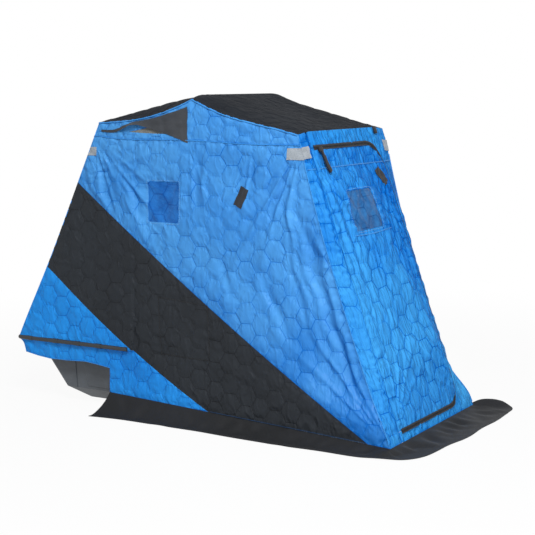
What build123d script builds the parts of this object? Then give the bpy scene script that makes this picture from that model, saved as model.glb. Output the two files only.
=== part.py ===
from build123d import *
import os
from math import atan2, cos, hypot, radians, sin, tan

# One-person flip-over ice fishing hut: an insulated fabric cabin held out by
# bows that fan from pivot plates on a moulded sled.
# +X points to the door end, -Y to the hinge side of the door, +Z up.
# The origin is on the ground, below the middle of the hut's box.
# All lengths are millimetres. "Back" is a distance behind the front foot seam.

# Outline of the cabin, seen from the side
front_seam_height = 30.0
front_eave_rise = 1400.0
front_eave_back = 498.0
ridge_setback = 588.0
ridge_rise = 115.0
rear_eave_setback = 569.0
rear_eave_rise = 50.0
rear_run = 535.0
rail_height = 340.0
drape_drop = 82.0
drape_tuck = 25.0

# Width of the cabin at the foot seam, and how far each side leans in up to the front eave
floor_width = 946.0
side_draw_in = 45.0

# Cloth and film
wall_thickness = 6.0
flap_thickness = 3.0
film_thickness = 2.0
mesh_thickness = 1.6

# Seams and the side panels that they part
gable_front_depth = 50.0
gable_rear_depth = 70.0
main_rear_depth = 237.0
band_rear_depth = 444.0
band_top_front_back = 113.0
band_foot_length = 878.0
band_edge_sag = 34.0
skirt_to_rail = 590.0
seam_rise = 76.0
drape_front_drop = 102.0

# Side window
window_behind_ridge = 84.0
window_length = 190.0
window_above_band = 114.0
window_height = 199.0
window_corner = 12.0

# Vent in the gable
vent_tip_ahead = 15.0
vent_tip_drop = 39.0
vent_behind_ridge = 24.0
vent_below_ridge = 38.0
vent_above_seam = 12.0
vent_border = 26.0

# Door in the front wall, sizes along the slope from the foot seam
hinge_margin = 82.0
latch_margin = 93.0
door_low = 49.0
door_head = 77.0
door_top_radius = 150.0
door_low_radius = 110.0
door_gap = 5.0
bead_radius = 4.0
bead_gap = 0.3
hinge_web = 8.0
hinge_web_thickness = 2.0
pane_below_top = 221.0
pane_height = 198.0
pane_from_hinge = 180.0
pane_width = 230.0
pane_corner = 14.0

# Zip slider and its pull on the door
slider_from_hinge = 64.0
slider_below_top = 14.0
slider_width = 15.0
slider_length = 26.0
slider_thickness = 8.0
pull_width = 14.0
pull_length = 104.0
pull_thickness = 3.0
slider_corner_share = 0.33

# Skirt that lies on the ice
side_skirt_reach = 108.0
front_skirt_reach = 168.0
skirt_corner = 120.0
skirt_thickness = 4.0
hem_width = 12.0
corner_steps = 4
right_angle = 90

# Bows and their pivot plates
bow_radius = 11.0
bow_bend = 70.0
bow_wall = 1.6
ground_bow_height = 54.0
pivot_behind_ridge = 179.0
pivot_above_rail = 80.0
leg_start = 64.0
plate_thickness = 4.0
plate_radius = 104.0
plate_foot_drop = 105.0
plate_foot_width = 130.0

# Rail that clamps the cloth round the sled's rim
rail_radius = 11.0
rail_bend = 13.0
rail_length = 714.0

# Sled
sled_wall = 6.0
rim_thickness = 6.0
rim_overhang = 18.0
rim_from_rail = 34.0
tub_length = 1366.0
rim_corner = 32.0
chine_height = 84.0
chine_inset = 17.0
chine_rear_rake = 196.0
chine_front_rake = 60.0
chine_corner = 26.0
keel_height = 25.0
keel_inset = 80.0
keel_rear_rake = 105.0
keel_front_rake = 55.0
keel_corner = 24.0
runner_width = 44.0
runner_inset = 132.0
runner_rise = 40.0

# Moulded groove and raised pad on the sides of the sled
groove_ahead = 85.0
groove_width = 9.0
groove_depth = 3.0
pad_ahead = 160.0
pad_slant = 30.0
pad_front_margin = 90.0
pad_foot = 14.0
pad_height = 190.0
pad_thickness = 4.0

# Clearances
seat_gap = 0.3
overrun = 20.0

# Places of the cabin's corners and of what is tied to them
front_eave_height = front_seam_height + front_eave_rise
rear_eave_height = front_eave_height + rear_eave_rise
ridge_height = rear_eave_height + ridge_rise
ridge_back = front_eave_back + ridge_setback
rear_eave_back = ridge_back + rear_eave_setback
floor_length = rear_eave_back + rear_run
half_floor = floor_width / 2
half_roof = half_floor - side_draw_in
side_lean = atan2(side_draw_in, front_eave_rise)
front_lean = atan2(front_eave_back, front_eave_rise)
rear_lean = atan2(rear_run, rear_eave_height - rail_height)
front_slope = hypot(front_eave_back, front_eave_rise)
rear_reach = (rail_radius + seat_gap) / cos(rear_lean)
box_length = front_skirt_reach + floor_length + rear_reach + rail_radius
x_front_seam = box_length / 2 - front_skirt_reach
gable_seam_front_height = front_eave_height - gable_front_depth
gable_seam_rear_height = rear_eave_height - gable_rear_depth
band_top_rear_height = gable_seam_rear_height - main_rear_depth
band_low_rear_height = band_top_rear_height - band_rear_depth
band_low_front_back = band_top_front_back + band_foot_length
skirt_rear_back = floor_length - skirt_to_rail
skirt_rear_height = front_seam_height + seam_rise
hinge_y = hinge_margin - half_roof
latch_y = half_roof - latch_margin
door_top = front_slope - door_head
slider_y = hinge_y + slider_from_hinge
pivot_back = ridge_back + pivot_behind_ridge
pivot_height = rail_height + pivot_above_rail
rim_rear_back = floor_length - rim_from_rail
rim_front_back = rim_rear_back - tub_length
chine_rear_back = rim_rear_back - chine_rear_rake
chine_front_back = rim_front_back + chine_front_rake
keel_rear_back = chine_rear_back - keel_rear_rake
keel_front_back = chine_front_back + keel_front_rake


def half_width(height):
    """Half the width of the cabin's outside at a height."""
    return half_floor - (height - front_seam_height) * tan(side_lean)


def x_at(back):
    """X of a point that lies back from the front foot seam."""
    return x_front_seam - back


def seam_height(back):
    """Height of the side's foot seam, which rises towards the sled."""
    return front_seam_height + (skirt_rear_height - front_seam_height) * back / skirt_rear_back


def front_back(height):
    """How far back the front edge lies at a height."""
    return (height - front_seam_height) * tan(front_lean)


def rear_back(height):
    """How far back the rear edge lies at a height."""
    return rear_eave_back + (rear_eave_height - height) * tan(rear_lean)


# Corners of the outline as (back, height), from the front foot round to the rear drape
outline = [
    (0, front_seam_height),
    (front_eave_back, front_eave_height),
    (ridge_back, ridge_height),
    (rear_eave_back, rear_eave_height),
    (floor_length, rail_height),
    (floor_length - drape_tuck, rail_height - drape_drop),
]


def shifted_line(start, end, inset):
    """A side of the outline moved inwards, as a point and a direction."""
    run = (end[0] - start[0], end[1] - start[1])
    length = hypot(*run)
    normal = (run[1] / length, -run[0] / length)
    return (start[0] + normal[0] * inset, start[1] + normal[1] * inset), run


def crossing(first, second):
    """Where two lines meet."""
    (px, py), (ux, uy) = first
    (qx, qy), (vx, vy) = second
    reach = ((qx - px) * vy - (qy - py) * vx) / (ux * vy - uy * vx)
    return (px + ux * reach, py + uy * reach)


def inset_outline(inset):
    """The outline's corners moved inwards, cut level at both feet."""
    lines = [shifted_line(a, b, inset) for a, b in zip(outline, outline[1:])]
    level_front = (outline[0], (1, 0))
    level_rear = (outline[-1], (1, 0))
    inner = [crossing(level_front, lines[0])]
    inner += [crossing(a, b) for a, b in zip(lines, lines[1:])]
    inner.append(crossing(lines[-1], level_rear))
    return inner


inner_outline = inset_outline(wall_thickness)
bow_outline = inset_outline(wall_thickness + bow_radius + seat_gap)

# Planes of the right side wall and of the front wall, facing out
right_side = Plane(
    origin=(0, -half_floor, front_seam_height),
    x_dir=(1, 0, 0),
    z_dir=(0, -cos(side_lean), sin(side_lean)),
)
right_inside = right_side.offset(-wall_thickness)
left_inside = Plane(
    origin=(0, -right_inside.origin.Y, right_inside.origin.Z),
    x_dir=(1, 0, 0),
    z_dir=(0, cos(side_lean), sin(side_lean)),
)
front_wall = Plane(
    origin=(x_front_seam, 0, front_seam_height),
    x_dir=(0, 1, 0),
    z_dir=(cos(front_lean), 0, sin(front_lean)),
)


def on_side(back, height):
    """A point of the side wall in that wall's own plane."""
    return (x_at(back), (height - front_seam_height) / cos(side_lean))


def sag_point(start, end):
    """The middle of a band edge, a little below the straight line."""
    return ((start[0] + end[0]) / 2, (start[1] + end[1]) / 2 - band_edge_sag)


def write(builder, name):
    """Label a finished piece and write it."""
    builder.part.label = name
    export_step(builder.part, f"parts/{name}.step")


def write_pair(builder, name):
    """Write a right-hand piece and its mirror image on the left."""
    write(builder, f"right_{name}")
    with BuildPart() as twin:
        mirror(builder.part, about=Plane.XZ)
    write(twin, f"left_{name}")


os.makedirs("parts", exist_ok=True)

# Corners that the side panels share
gable_front = on_side(front_back(gable_seam_front_height), gable_seam_front_height)
gable_rear = on_side(rear_back(gable_seam_rear_height), gable_seam_rear_height)
band_top_rear = on_side(rear_back(band_top_rear_height), band_top_rear_height)
band_top_front = on_side(band_top_front_back, seam_height(band_top_front_back))
band_low_rear = on_side(rear_back(band_low_rear_height), band_low_rear_height)
band_low_front = on_side(band_low_front_back, seam_height(band_low_front_back))
foot_corner = on_side(*outline[0])
eave_corner = on_side(*outline[1])
ridge_corner = on_side(*outline[2])
rear_eave_corner = on_side(*outline[3])
rail_corner = on_side(*outline[4])
drape_corner = on_side(*outline[5])


def vent_outline():
    """Three corners of the vent flap."""
    vent_front_back = ridge_back + vent_behind_ridge
    Polyline(
        on_side(rear_eave_back - vent_tip_ahead, rear_eave_height - vent_tip_drop),
        on_side(vent_front_back, gable_seam_front_height + vent_above_seam),
        on_side(vent_front_back, ridge_height - vent_below_ridge),
        close=True,
    )


def window_outline(mode=Mode.ADD):
    """The side window's rounded rectangle, inside a sketch on the side wall."""
    window_rear_back = ridge_back + window_behind_ridge + window_length
    band_run = (band_top_rear[1] - band_top_front[1]) / (band_top_front[0] - band_top_rear[0])
    low_x = x_at(window_rear_back)
    low_y = band_top_front[1] + (band_top_front[0] - low_x) * band_run + window_above_band
    with Locations((low_x + window_length / 2, low_y + window_height / 2)):
        RectangleRounded(window_length, window_height, window_corner, mode=mode)


# Gable with the vent hole
with BuildPart() as gable:
    with BuildSketch(right_side):
        with BuildLine():
            Polyline(gable_front, eave_corner, ridge_corner, rear_eave_corner, gable_rear, close=True)
        make_face()
        with BuildSketch(mode=Mode.SUBTRACT):
            with BuildLine():
                vent_outline()
            make_face()
            offset(amount=-vent_border, kind=Kind.INTERSECTION, mode=Mode.REPLACE)
    extrude(amount=-wall_thickness)
write_pair(gable, "gable_panel")

# Net that fills the vent hole, halfway into the cloth
with BuildPart() as vent_mesh:
    with BuildSketch(right_side.offset(-(wall_thickness - mesh_thickness) / 2)):
        with BuildLine():
            vent_outline()
        make_face()
        offset(amount=-vent_border, kind=Kind.INTERSECTION, mode=Mode.REPLACE)
    extrude(amount=-mesh_thickness)
write_pair(vent_mesh, "vent_mesh")

# Flap over the vent, sewn on outside
with BuildPart() as vent_flap:
    with BuildSketch(right_side):
        with BuildLine():
            vent_outline()
        make_face()
    extrude(amount=flap_thickness)
write_pair(vent_flap, "vent_flap")

# Main side panel with the window hole
with BuildPart() as main_panel:
    with BuildSketch(right_side):
        with BuildLine():
            Polyline(band_top_front, foot_corner, gable_front, gable_rear, band_top_rear)
            ThreePointArc(band_top_rear, sag_point(band_top_rear, band_top_front), band_top_front)
        make_face()
        window_outline(mode=Mode.SUBTRACT)
    extrude(amount=-wall_thickness)
write_pair(main_panel, "main_panel")

# Film pane of the side window
with BuildPart() as side_window:
    with BuildSketch(right_side.offset(-(wall_thickness - film_thickness) / 2)):
        window_outline()
    extrude(amount=-film_thickness)
write_pair(side_window, "side_window")

# Diagonal band
with BuildPart() as band:
    with BuildSketch(right_side):
        with BuildLine():
            Line(band_low_front, band_top_front)
            ThreePointArc(band_top_front, sag_point(band_top_rear, band_top_front), band_top_rear)
            Line(band_top_rear, band_low_rear)
            ThreePointArc(band_low_rear, sag_point(band_low_rear, band_low_front), band_low_front)
        make_face()
    extrude(amount=-wall_thickness)
write_pair(band, "band_panel")

# Rear side panel, which drapes over the sled and runs down to the foot seam ahead of it
with BuildPart() as rear_panel:
    with BuildSketch(right_side):
        with BuildLine():
            Polyline(
                band_low_rear,
                rail_corner,
                drape_corner,
                on_side(skirt_rear_back, rail_height - drape_front_drop),
                on_side(skirt_rear_back, skirt_rear_height),
                band_low_front,
            )
            ThreePointArc(band_low_front, sag_point(band_low_rear, band_low_front), band_low_rear)
        make_face()
    extrude(amount=-wall_thickness)
write_pair(rear_panel, "rear_panel")


def cross_panel(first, last, y_low=-half_floor, y_high=half_floor):
    """Cloth between the sides, from one corner of the outline to another."""
    points = outline[first:last + 1] + inner_outline[first:last + 1][::-1]
    with BuildSketch(Plane(origin=(0, y_high, 0), x_dir=(1, 0, 0), z_dir=(0, -1, 0))) as section:
        with BuildLine():
            Polyline(*[(x_at(back), height) for back, height in points], close=True)
        make_face()
    extrude(section.sketch, amount=y_high - y_low)
    split(bisect_by=right_inside, keep=Keep.BOTTOM)
    split(bisect_by=left_inside, keep=Keep.BOTTOM)


# Roof and rear wall
with BuildPart() as front_roof:
    cross_panel(1, 2)
write(front_roof, "front_roof")

with BuildPart() as rear_roof:
    cross_panel(2, 3)
write(rear_roof, "rear_roof")

with BuildPart() as rear_wall:
    cross_panel(3, 5)
write(rear_wall, "rear_wall")


def doorway(grow):
    """Outline of the door grown by a gap, on the front wall."""
    with BuildSketch(front_wall) as shape:
        with BuildLine():
            Polyline(
                (hinge_y, door_low - grow),
                (latch_y + grow, door_low - grow),
                (latch_y + grow, door_top + grow),
                (hinge_y, door_top + grow),
                close=True,
            )
        make_face()
        low_corner = shape.vertices().group_by(Axis.Y)[0].sort_by(Axis.X)[-1]
        fillet(low_corner, radius=door_low_radius + grow)
        top_corner = shape.vertices().group_by(Axis.Y)[-1].sort_by(Axis.X)[-1]
        fillet(top_corner, radius=door_top_radius + grow)
    return shape.sketch


def cut_doorway():
    """Cut the doorway out of a front piece, up to the edge of the hinge strip."""
    with BuildSketch(front_wall) as hinge_side:
        with BuildLine():
            Polyline(
                (strip_edge, door_low - door_gap),
                (hinge_y + overrun, door_low - door_gap),
                (hinge_y + overrun, door_top + door_gap),
                (strip_edge, door_top + door_gap),
                close=True,
            )
        make_face()
    extrude(doorway(door_gap), amount=overrun, both=True, mode=Mode.SUBTRACT)
    extrude(hinge_side.sketch, amount=overrun, both=True, mode=Mode.SUBTRACT)


def keep_slope(low, high):
    """Keep the stretch of a front piece between two distances up the slope."""
    low_cut = Plane(front_wall.from_local_coords((0, low, 0)), z_dir=front_wall.y_dir)
    high_cut = Plane(front_wall.from_local_coords((0, high, 0)), z_dir=front_wall.y_dir)
    split(bisect_by=low_cut, keep=Keep.TOP)
    split(bisect_by=high_cut, keep=Keep.BOTTOM)


strip_edge = hinge_y - hinge_web
bead_axis = Plane(
    front_wall.from_local_coords((hinge_y, door_low, -wall_thickness / 2)),
    x_dir=front_wall.x_dir,
    z_dir=front_wall.y_dir,
)

# Strip on the hinge side, with the sewn bead that the door turns on
with BuildPart() as hinge_strip:
    cross_panel(0, 1, y_high=strip_edge)
    with BuildSketch(bead_axis):
        Circle(bead_radius)
        with Locations((-hinge_web / 2, 0)):
            Rectangle(hinge_web, hinge_web_thickness)
    extrude(amount=door_top - door_low)
write(hinge_strip, "front_hinge_strip")

# Strip on the zip side
with BuildPart() as zip_strip:
    cross_panel(0, 1, y_low=latch_y + door_gap)
write(zip_strip, "front_zip_strip")

# Header over the door and sill under it
with BuildPart() as header:
    cross_panel(0, 1, y_low=strip_edge, y_high=latch_y + door_gap)
    cut_doorway()
    keep_slope(door_top - door_top_radius, front_slope + overrun)
write(header, "front_header")

with BuildPart() as sill:
    cross_panel(0, 1, y_low=strip_edge, y_high=latch_y + door_gap)
    cut_doorway()
    keep_slope(-overrun, door_low + door_low_radius)
write(sill, "front_sill")


def pane_outline():
    """The door window's rounded rectangle, inside a sketch on the front wall."""
    pane_middle = door_top - pane_below_top - pane_height / 2
    with Locations((hinge_y + pane_from_hinge + pane_width / 2, pane_middle)):
        RectangleRounded(pane_width, pane_height, pane_corner)


# Door flap, hollowed along its hinge edge for the bead, with the window hole
with BuildPart() as door:
    extrude(doorway(0), amount=-wall_thickness)
    with BuildSketch(front_wall):
        pane_outline()
    extrude(amount=-wall_thickness, mode=Mode.SUBTRACT)
    with BuildSketch(bead_axis.offset(-overrun)):
        Circle(bead_radius + bead_gap)
    extrude(amount=door_top - door_low + 2 * overrun, mode=Mode.SUBTRACT)
write(door, "door_panel")

with BuildPart() as door_window:
    with BuildSketch(front_wall.offset(-(wall_thickness - film_thickness) / 2)):
        pane_outline()
    extrude(amount=-film_thickness)
write(door_window, "door_window")

# Zip slider with its hanging pull, on the face of the door
with BuildPart() as slider:
    with BuildSketch(front_wall):
        with Locations((slider_y, door_top - slider_below_top)):
            RectangleRounded(slider_length, slider_width, slider_width * slider_corner_share)
    extrude(amount=slider_thickness)
    with BuildSketch(front_wall):
        with Locations((slider_y, door_top - slider_below_top - pull_length / 2)):
            RectangleRounded(pull_width, pull_length, pull_width * slider_corner_share)
    extrude(amount=pull_thickness)
write(slider, "zip_slider")


def skirt_section(plane, top_reach, top_height, hem_reach):
    """Sloping cut through the skirt: its sewn edge on top and its hem on the ice."""
    with BuildSketch(plane) as section:
        with BuildLine():
            Polyline(
                (top_reach, top_height - seat_gap),
                (hem_reach, 0),
                (hem_reach - hem_width, 0),
                (top_reach - skirt_thickness, top_height - seat_gap),
                close=True,
            )
        make_face()
    return section.sketch


def upright(x, y, angle):
    """An upright plane that looks out at an angle, 0 towards -Y and 90 towards +X."""
    out = (sin(radians(angle)), -cos(radians(angle)), 0)
    return Plane(origin=(x, y, 0), x_dir=out, z_dir=(out[1], -out[0], 0))


def side_section(back):
    """The side skirt cut across, back from the front foot seam."""
    height = seam_height(back)
    plane = upright(x_at(back), 0, 0)
    return skirt_section(plane, half_width(height), height, half_floor + side_skirt_reach)


def corner_section(angle, side):
    """The front skirt cut across at an angle round one of its corners."""
    reach = skirt_corner / max(cos(radians(angle)), sin(radians(angle)))
    back = skirt_corner - reach * sin(radians(angle))
    turn_share = angle / right_angle
    hem_reach = skirt_corner + side_skirt_reach + (front_skirt_reach - side_skirt_reach) * turn_share
    heading = angle if side < 0 else 2 * right_angle - angle
    plane = upright(x_at(skirt_corner), side * (half_floor - skirt_corner), heading)
    return skirt_section(plane, reach, seam_height(back), hem_reach)


# Side skirt, from the corner back to the sled
with BuildPart() as side_skirt:
    loft([side_section(skirt_corner), side_section(skirt_rear_back)], ruled=True)
write_pair(side_skirt, "skirt")

# Front skirt, which turns both corners
turns = [right_angle * step / corner_steps for step in range(corner_steps + 1)]
with BuildPart() as front_skirt:
    sections = [corner_section(angle, -1) for angle in turns]
    sections += [corner_section(angle, 1) for angle in reversed(turns)]
    loft(sections, ruled=True)
write(front_skirt, "front_skirt")


def bow_leg_y(height):
    """Distance of a bow's leg from the middle at a height."""
    return half_width(height) - (wall_thickness + bow_radius + seat_gap) / cos(side_lean)


def bow(corner):
    """A bent tube: two legs on the pivot plates and a bar across the cabin."""
    back, height = corner
    run = hypot(pivot_back - back, height - pivot_height)
    start_back = pivot_back - (pivot_back - back) * leg_start / run
    start_height = pivot_height + (height - pivot_height) * leg_start / run
    with BuildLine() as path:
        FilletPolyline(
            (x_at(start_back), -bow_leg_y(start_height), start_height),
            (x_at(back), -bow_leg_y(height), height),
            (x_at(back), bow_leg_y(height), height),
            (x_at(start_back), bow_leg_y(start_height), start_height),
            radius=bow_bend,
        )
    with BuildSketch(Plane(origin=path.line @ 0, z_dir=path.line % 0)) as ring:
        Circle(bow_radius)
        Circle(bow_radius - bow_wall, mode=Mode.SUBTRACT)
    sweep(ring.sketch, path=path.line)


ground_line = shifted_line(outline[0], outline[1], wall_thickness + bow_radius + seat_gap)
ground_corner = crossing(ground_line, ((0, ground_bow_height), (1, 0)))
bow_corners = {
    "ground_bow": ground_corner,
    "front_bow": bow_outline[1],
    "ridge_bow": bow_outline[2],
    "rear_bow": bow_outline[3],
}
for bow_name, bow_corner in bow_corners.items():
    with BuildPart() as bent_bow:
        bow(bow_corner)
    write(bent_bow, bow_name)

# Pivot plate that carries the bow legs, on the edge of the sled's rim
plate_inset = wall_thickness + 2 * (bow_radius + seat_gap)
with BuildPart() as pivot_plate:
    with BuildSketch(right_side.offset(-plate_inset)):
        with Locations(on_side(pivot_back, pivot_height)):
            Circle(plate_radius)
            Rectangle(plate_foot_width, plate_foot_drop, align=(Align.CENTER, Align.MAX))
    extrude(amount=-plate_thickness)
write_pair(pivot_plate, "pivot_plate")

# Rail round the outside of the cloth at the sled's rim
rail_y = half_width(rail_height) + (rail_radius + seat_gap) / cos(side_lean)
rail_front_back = floor_length - rail_length
with BuildPart() as base_rail:
    with BuildLine() as rail_path:
        FilletPolyline(
            (x_at(rail_front_back), -rail_y, rail_height),
            (x_at(floor_length + rear_reach), -rail_y, rail_height),
            (x_at(floor_length + rear_reach), rail_y, rail_height),
            (x_at(rail_front_back), rail_y, rail_height),
            radius=rail_bend,
        )
    with BuildSketch(Plane(origin=rail_path.line @ 0, z_dir=rail_path.line % 0)):
        Circle(rail_radius)
    sweep(path=rail_path.line)
write(base_rail, "base_rail")

# Sled: a drafted tub with a rim, a chine and runners
rim_top = rail_height + rim_thickness / 2
rim_low = rail_height - rim_thickness / 2
rim_half = half_width(rim_top) - (plate_inset + plate_thickness + seat_gap) / cos(side_lean)
tub_half = rim_half - rim_overhang
rim_edge_back = inner_outline[4][0] - seat_gap - rim_thickness


def tub_section(height, half, rear, front, corner, wall=0):
    """Level cut through the tub, inset by a wall."""
    middle = x_at((rear + front) / 2)
    with BuildSketch(Plane((middle, 0, height))) as section:
        RectangleRounded(rear - front - 2 * wall, 2 * (half - wall), corner - wall)
    return section.sketch


def tub_sections(floor_height, wall=0):
    """Keel, chine and rim cuts of the tub, or of the hollow inside its wall."""
    keel_half = tub_half - keel_inset
    chine_half = tub_half - chine_inset
    return [
        tub_section(floor_height, keel_half, keel_rear_back, keel_front_back, keel_corner, wall),
        tub_section(chine_height, chine_half, chine_rear_back, chine_front_back, chine_corner, wall),
        tub_section(rim_top, tub_half, rim_rear_back, rim_front_back, rim_corner, wall),
    ]


with BuildPart() as sled:
    loft(tub_sections(keel_height), ruled=True)
    rim_middle = (rim_edge_back + rim_front_back - rim_overhang) / 2
    with BuildSketch(Plane((x_at(rim_middle), 0, rim_low))):
        RectangleRounded(rim_edge_back - rim_front_back + rim_overhang, 2 * rim_half, rim_corner)
    extrude(amount=rim_thickness)
    runner_spread = tub_half - keel_inset - runner_inset
    for runner_y in (-runner_spread, 0, runner_spread):
        with BuildSketch(Plane.XZ.offset(runner_y)):
            with BuildLine():
                Polyline(
                    (x_at(keel_rear_back), keel_height + sled_wall / 2),
                    (x_at(keel_rear_back - runner_rise), 0),
                    (x_at(keel_front_back + runner_rise), 0),
                    (x_at(keel_front_back), keel_height + sled_wall / 2),
                    close=True,
                )
            make_face()
        extrude(amount=runner_width / 2, both=True)
    side_draft = atan2(chine_inset, rim_top - chine_height)
    pad_rear = chine_rear_back - pad_ahead
    pad_front = chine_front_back + pad_front_margin
    for side in (-1, 1):
        tub_side = Plane(
            origin=(0, side * (tub_half - chine_inset), chine_height),
            x_dir=(-side, 0, 0),
            z_dir=(0, side * cos(side_draft), -sin(side_draft)),
        )
        with BuildSketch(tub_side):
            with BuildLine():
                Polyline(
                    (-side * x_at(pad_rear), pad_foot),
                    (-side * x_at(pad_front), pad_foot),
                    (-side * x_at(pad_front + pad_slant), pad_height),
                    (-side * x_at(pad_rear + pad_slant), pad_height),
                    close=True,
                )
            make_face()
        extrude(amount=pad_thickness, taper=right_angle / 2)
        with BuildSketch(tub_side):
            with Locations((-side * x_at(chine_rear_back - groove_ahead), 0)):
                Rectangle(groove_width, rim_low - chine_height, align=(Align.CENTER, Align.MIN))
        extrude(amount=-groove_depth, mode=Mode.SUBTRACT)
    loft(tub_sections(keel_height + sled_wall, sled_wall), ruled=True, mode=Mode.SUBTRACT)
write(sled, "sled_tub")
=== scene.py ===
# %% [markdown]
# # A flip-over ice fishing hut
# The hut is a cloth cabin on bent tubes over a moulded sled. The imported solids
# give the frame that everything is placed in. The rigid pieces are kept as they
# are, and the cloth is made here, because flat slabs can't show how quilted
# cloth puffs, sags and wrinkles.

# %% Load the frame
import math

import bmesh
import bpy
import numpy as np
from mathutils import Matrix, Vector
from mathutils.geometry import delaunay_2d_cdt


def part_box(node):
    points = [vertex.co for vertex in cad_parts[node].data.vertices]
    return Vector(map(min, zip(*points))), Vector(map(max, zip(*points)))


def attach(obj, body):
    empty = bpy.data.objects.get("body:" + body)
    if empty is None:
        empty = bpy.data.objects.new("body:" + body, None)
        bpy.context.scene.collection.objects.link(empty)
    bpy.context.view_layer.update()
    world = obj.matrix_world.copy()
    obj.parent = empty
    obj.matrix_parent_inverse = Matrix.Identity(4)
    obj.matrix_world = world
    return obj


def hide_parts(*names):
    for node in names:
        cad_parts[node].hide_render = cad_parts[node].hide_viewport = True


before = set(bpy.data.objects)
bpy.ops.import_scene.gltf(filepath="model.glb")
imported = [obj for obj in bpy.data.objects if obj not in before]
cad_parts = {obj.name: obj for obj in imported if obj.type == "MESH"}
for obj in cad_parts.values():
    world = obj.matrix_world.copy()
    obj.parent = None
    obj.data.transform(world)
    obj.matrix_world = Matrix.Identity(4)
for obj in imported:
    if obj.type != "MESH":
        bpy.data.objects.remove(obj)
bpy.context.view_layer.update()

# %% [markdown]
# ## Places on the cabin
# Seen from the side, the cabin is a line of corners, each given as its distance
# behind the front foot seam and its height. The front seam's x comes from the
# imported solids, so the cloth lands exactly where they are.

# %% Corners of the cabin
foot = 0.030
front_eave, ridge, rear_eave = (0.498, 1.430), (1.086, 1.595), (1.655, 1.480)
rail, drape = (2.190, 0.340), (2.165, 0.258)
half_floor, draw_in = 0.473, 0.045 / 1.400
seam_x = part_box("right_main_panel")[1].x
side_lean = math.atan(draw_in)
front_lean = math.atan2(front_eave[0], front_eave[1] - foot)
front_slope = math.hypot(front_eave[0], front_eave[1] - foot)


def half_width(height):
    """Half the width of the cabin at a height."""
    return half_floor - (height - foot) * draw_in


def front_back(height):
    """How far back the front wall lies at a height."""
    return (height - foot) * math.tan(front_lean)


def rear_back(height):
    """How far back the rear wall lies at a height."""
    run, fall = rail[0] - rear_eave[0], rear_eave[1] - rail[1]
    return rear_eave[0] + (rear_eave[1] - height) * run / fall


def roof_height(back):
    """Height of the roof's line at a distance back."""
    return np.interp(back, *np.transpose([front_eave, ridge, rear_eave]))


def at(back, height):
    """A place on a side's flat cloth."""
    return back, (height - foot) / math.cos(side_lean)


def at_front(y, height):
    """A place on the front's flat cloth."""
    return y, (height - foot) / math.cos(front_lean)


print("front seam at x", round(seam_x, 4), "front leans", round(math.degrees(front_lean), 1), "degrees")

# %% [markdown]
# ## Where the cloth gives way
# Only the bows hold the cloth out. Between them a real hut's edges pull inwards:
# the front corners bow back and in, and the roof's side edges hang between the
# bars. One rule for each wall moves its points, and two walls that share an edge
# use the same rule there, so the seam stays shut.

# %% Rules for the sag between the bows
pivot = np.array([1.265, 0.420])
bow_tips = [(0.036, 0.054), (0.520, 1.410), (1.086, 1.577), (1.645, 1.462)]
corner_back, corner_in = 0.062, 0.060
front_hang, rear_hang = 0.022, 0.032
roof_crown, rear_crown = (0.010, 0.018, 0.014), 0.010
rail_bulge = 0.013


def bell(distance, width):
    """One at no distance, falling smoothly to nothing beyond a width."""
    return np.exp(-(distance / width) ** 2)


def from_bows(back, height):
    """Distance of points on a side wall from the nearest bow leg."""
    points = np.stack([back, height], 1)
    gaps = []
    for tip in bow_tips:
        run = np.array(tip) - pivot
        share = np.clip((points - pivot) @ run / (run @ run), 0, 1)
        gaps.append(np.linalg.norm(points - pivot - share[:, None] * run, axis=1))
    return np.min(gaps, 0)


def corner_pull(height):
    """How far the front corner's edge moves back and inwards at a height."""
    share = np.clip((height - foot) / (front_eave[1] - foot), 0, 1)
    free = 1 - bell(from_bows(front_back(height), height), 0.10)
    back = corner_back * np.sin(np.pi * share ** 0.66).clip(0) * free
    inwards = corner_in * np.sin(np.pi * share ** 0.55).clip(0) ** 1.6 * free
    return back, inwards


def roof_shares(back):
    """How far along the front roof and along the rear roof a place is, from 0 to 1."""
    front = np.clip((back - front_eave[0]) / (ridge[0] - front_eave[0]), 0, 1)
    return front, np.clip((back - ridge[0]) / (rear_eave[0] - ridge[0]), 0, 1)


def roof_hang(back):
    """How far the roof's side edge hangs at a distance back."""
    front, rear = roof_shares(back)
    return front_hang * np.sin(np.pi * front ** 1.6) + rear_hang * np.sin(np.pi * rear ** 0.9)


def roof_rise(y, back):
    """How far the roof is crowned, away from its side edges."""
    full = np.interp(back, [front_eave[0], ridge[0], rear_eave[0]], roof_crown)
    full = full + rear_crown * np.sin(np.pi * roof_shares(back)[1])
    return full * (1 - bell(half_width(roof_height(back)) - np.abs(y), 0.06))


def rail_swell(height):
    """How far the cloth swells out over the rail that clamps it."""
    over = height - rail[1]
    return rail_bulge * bell(over, np.where(over > 0, 0.32, 0.02))


pulls = corner_pull(np.linspace(foot, front_eave[1], 50))
print("front corner pulls back and in by up to", [round(float(v.max()), 3) for v in pulls])

# %% [markdown]
# ## Walls
# A wall turns flat cloth coordinates into places in the frame. A side wall is one
# leaning plane. A wall that crosses the cabin follows a bent line, seen from the
# side. Both push a point out by its lift and then let it sag.

# %% Side walls and cross walls
stiff_front, rail_start = 0.343, 1.45


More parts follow.
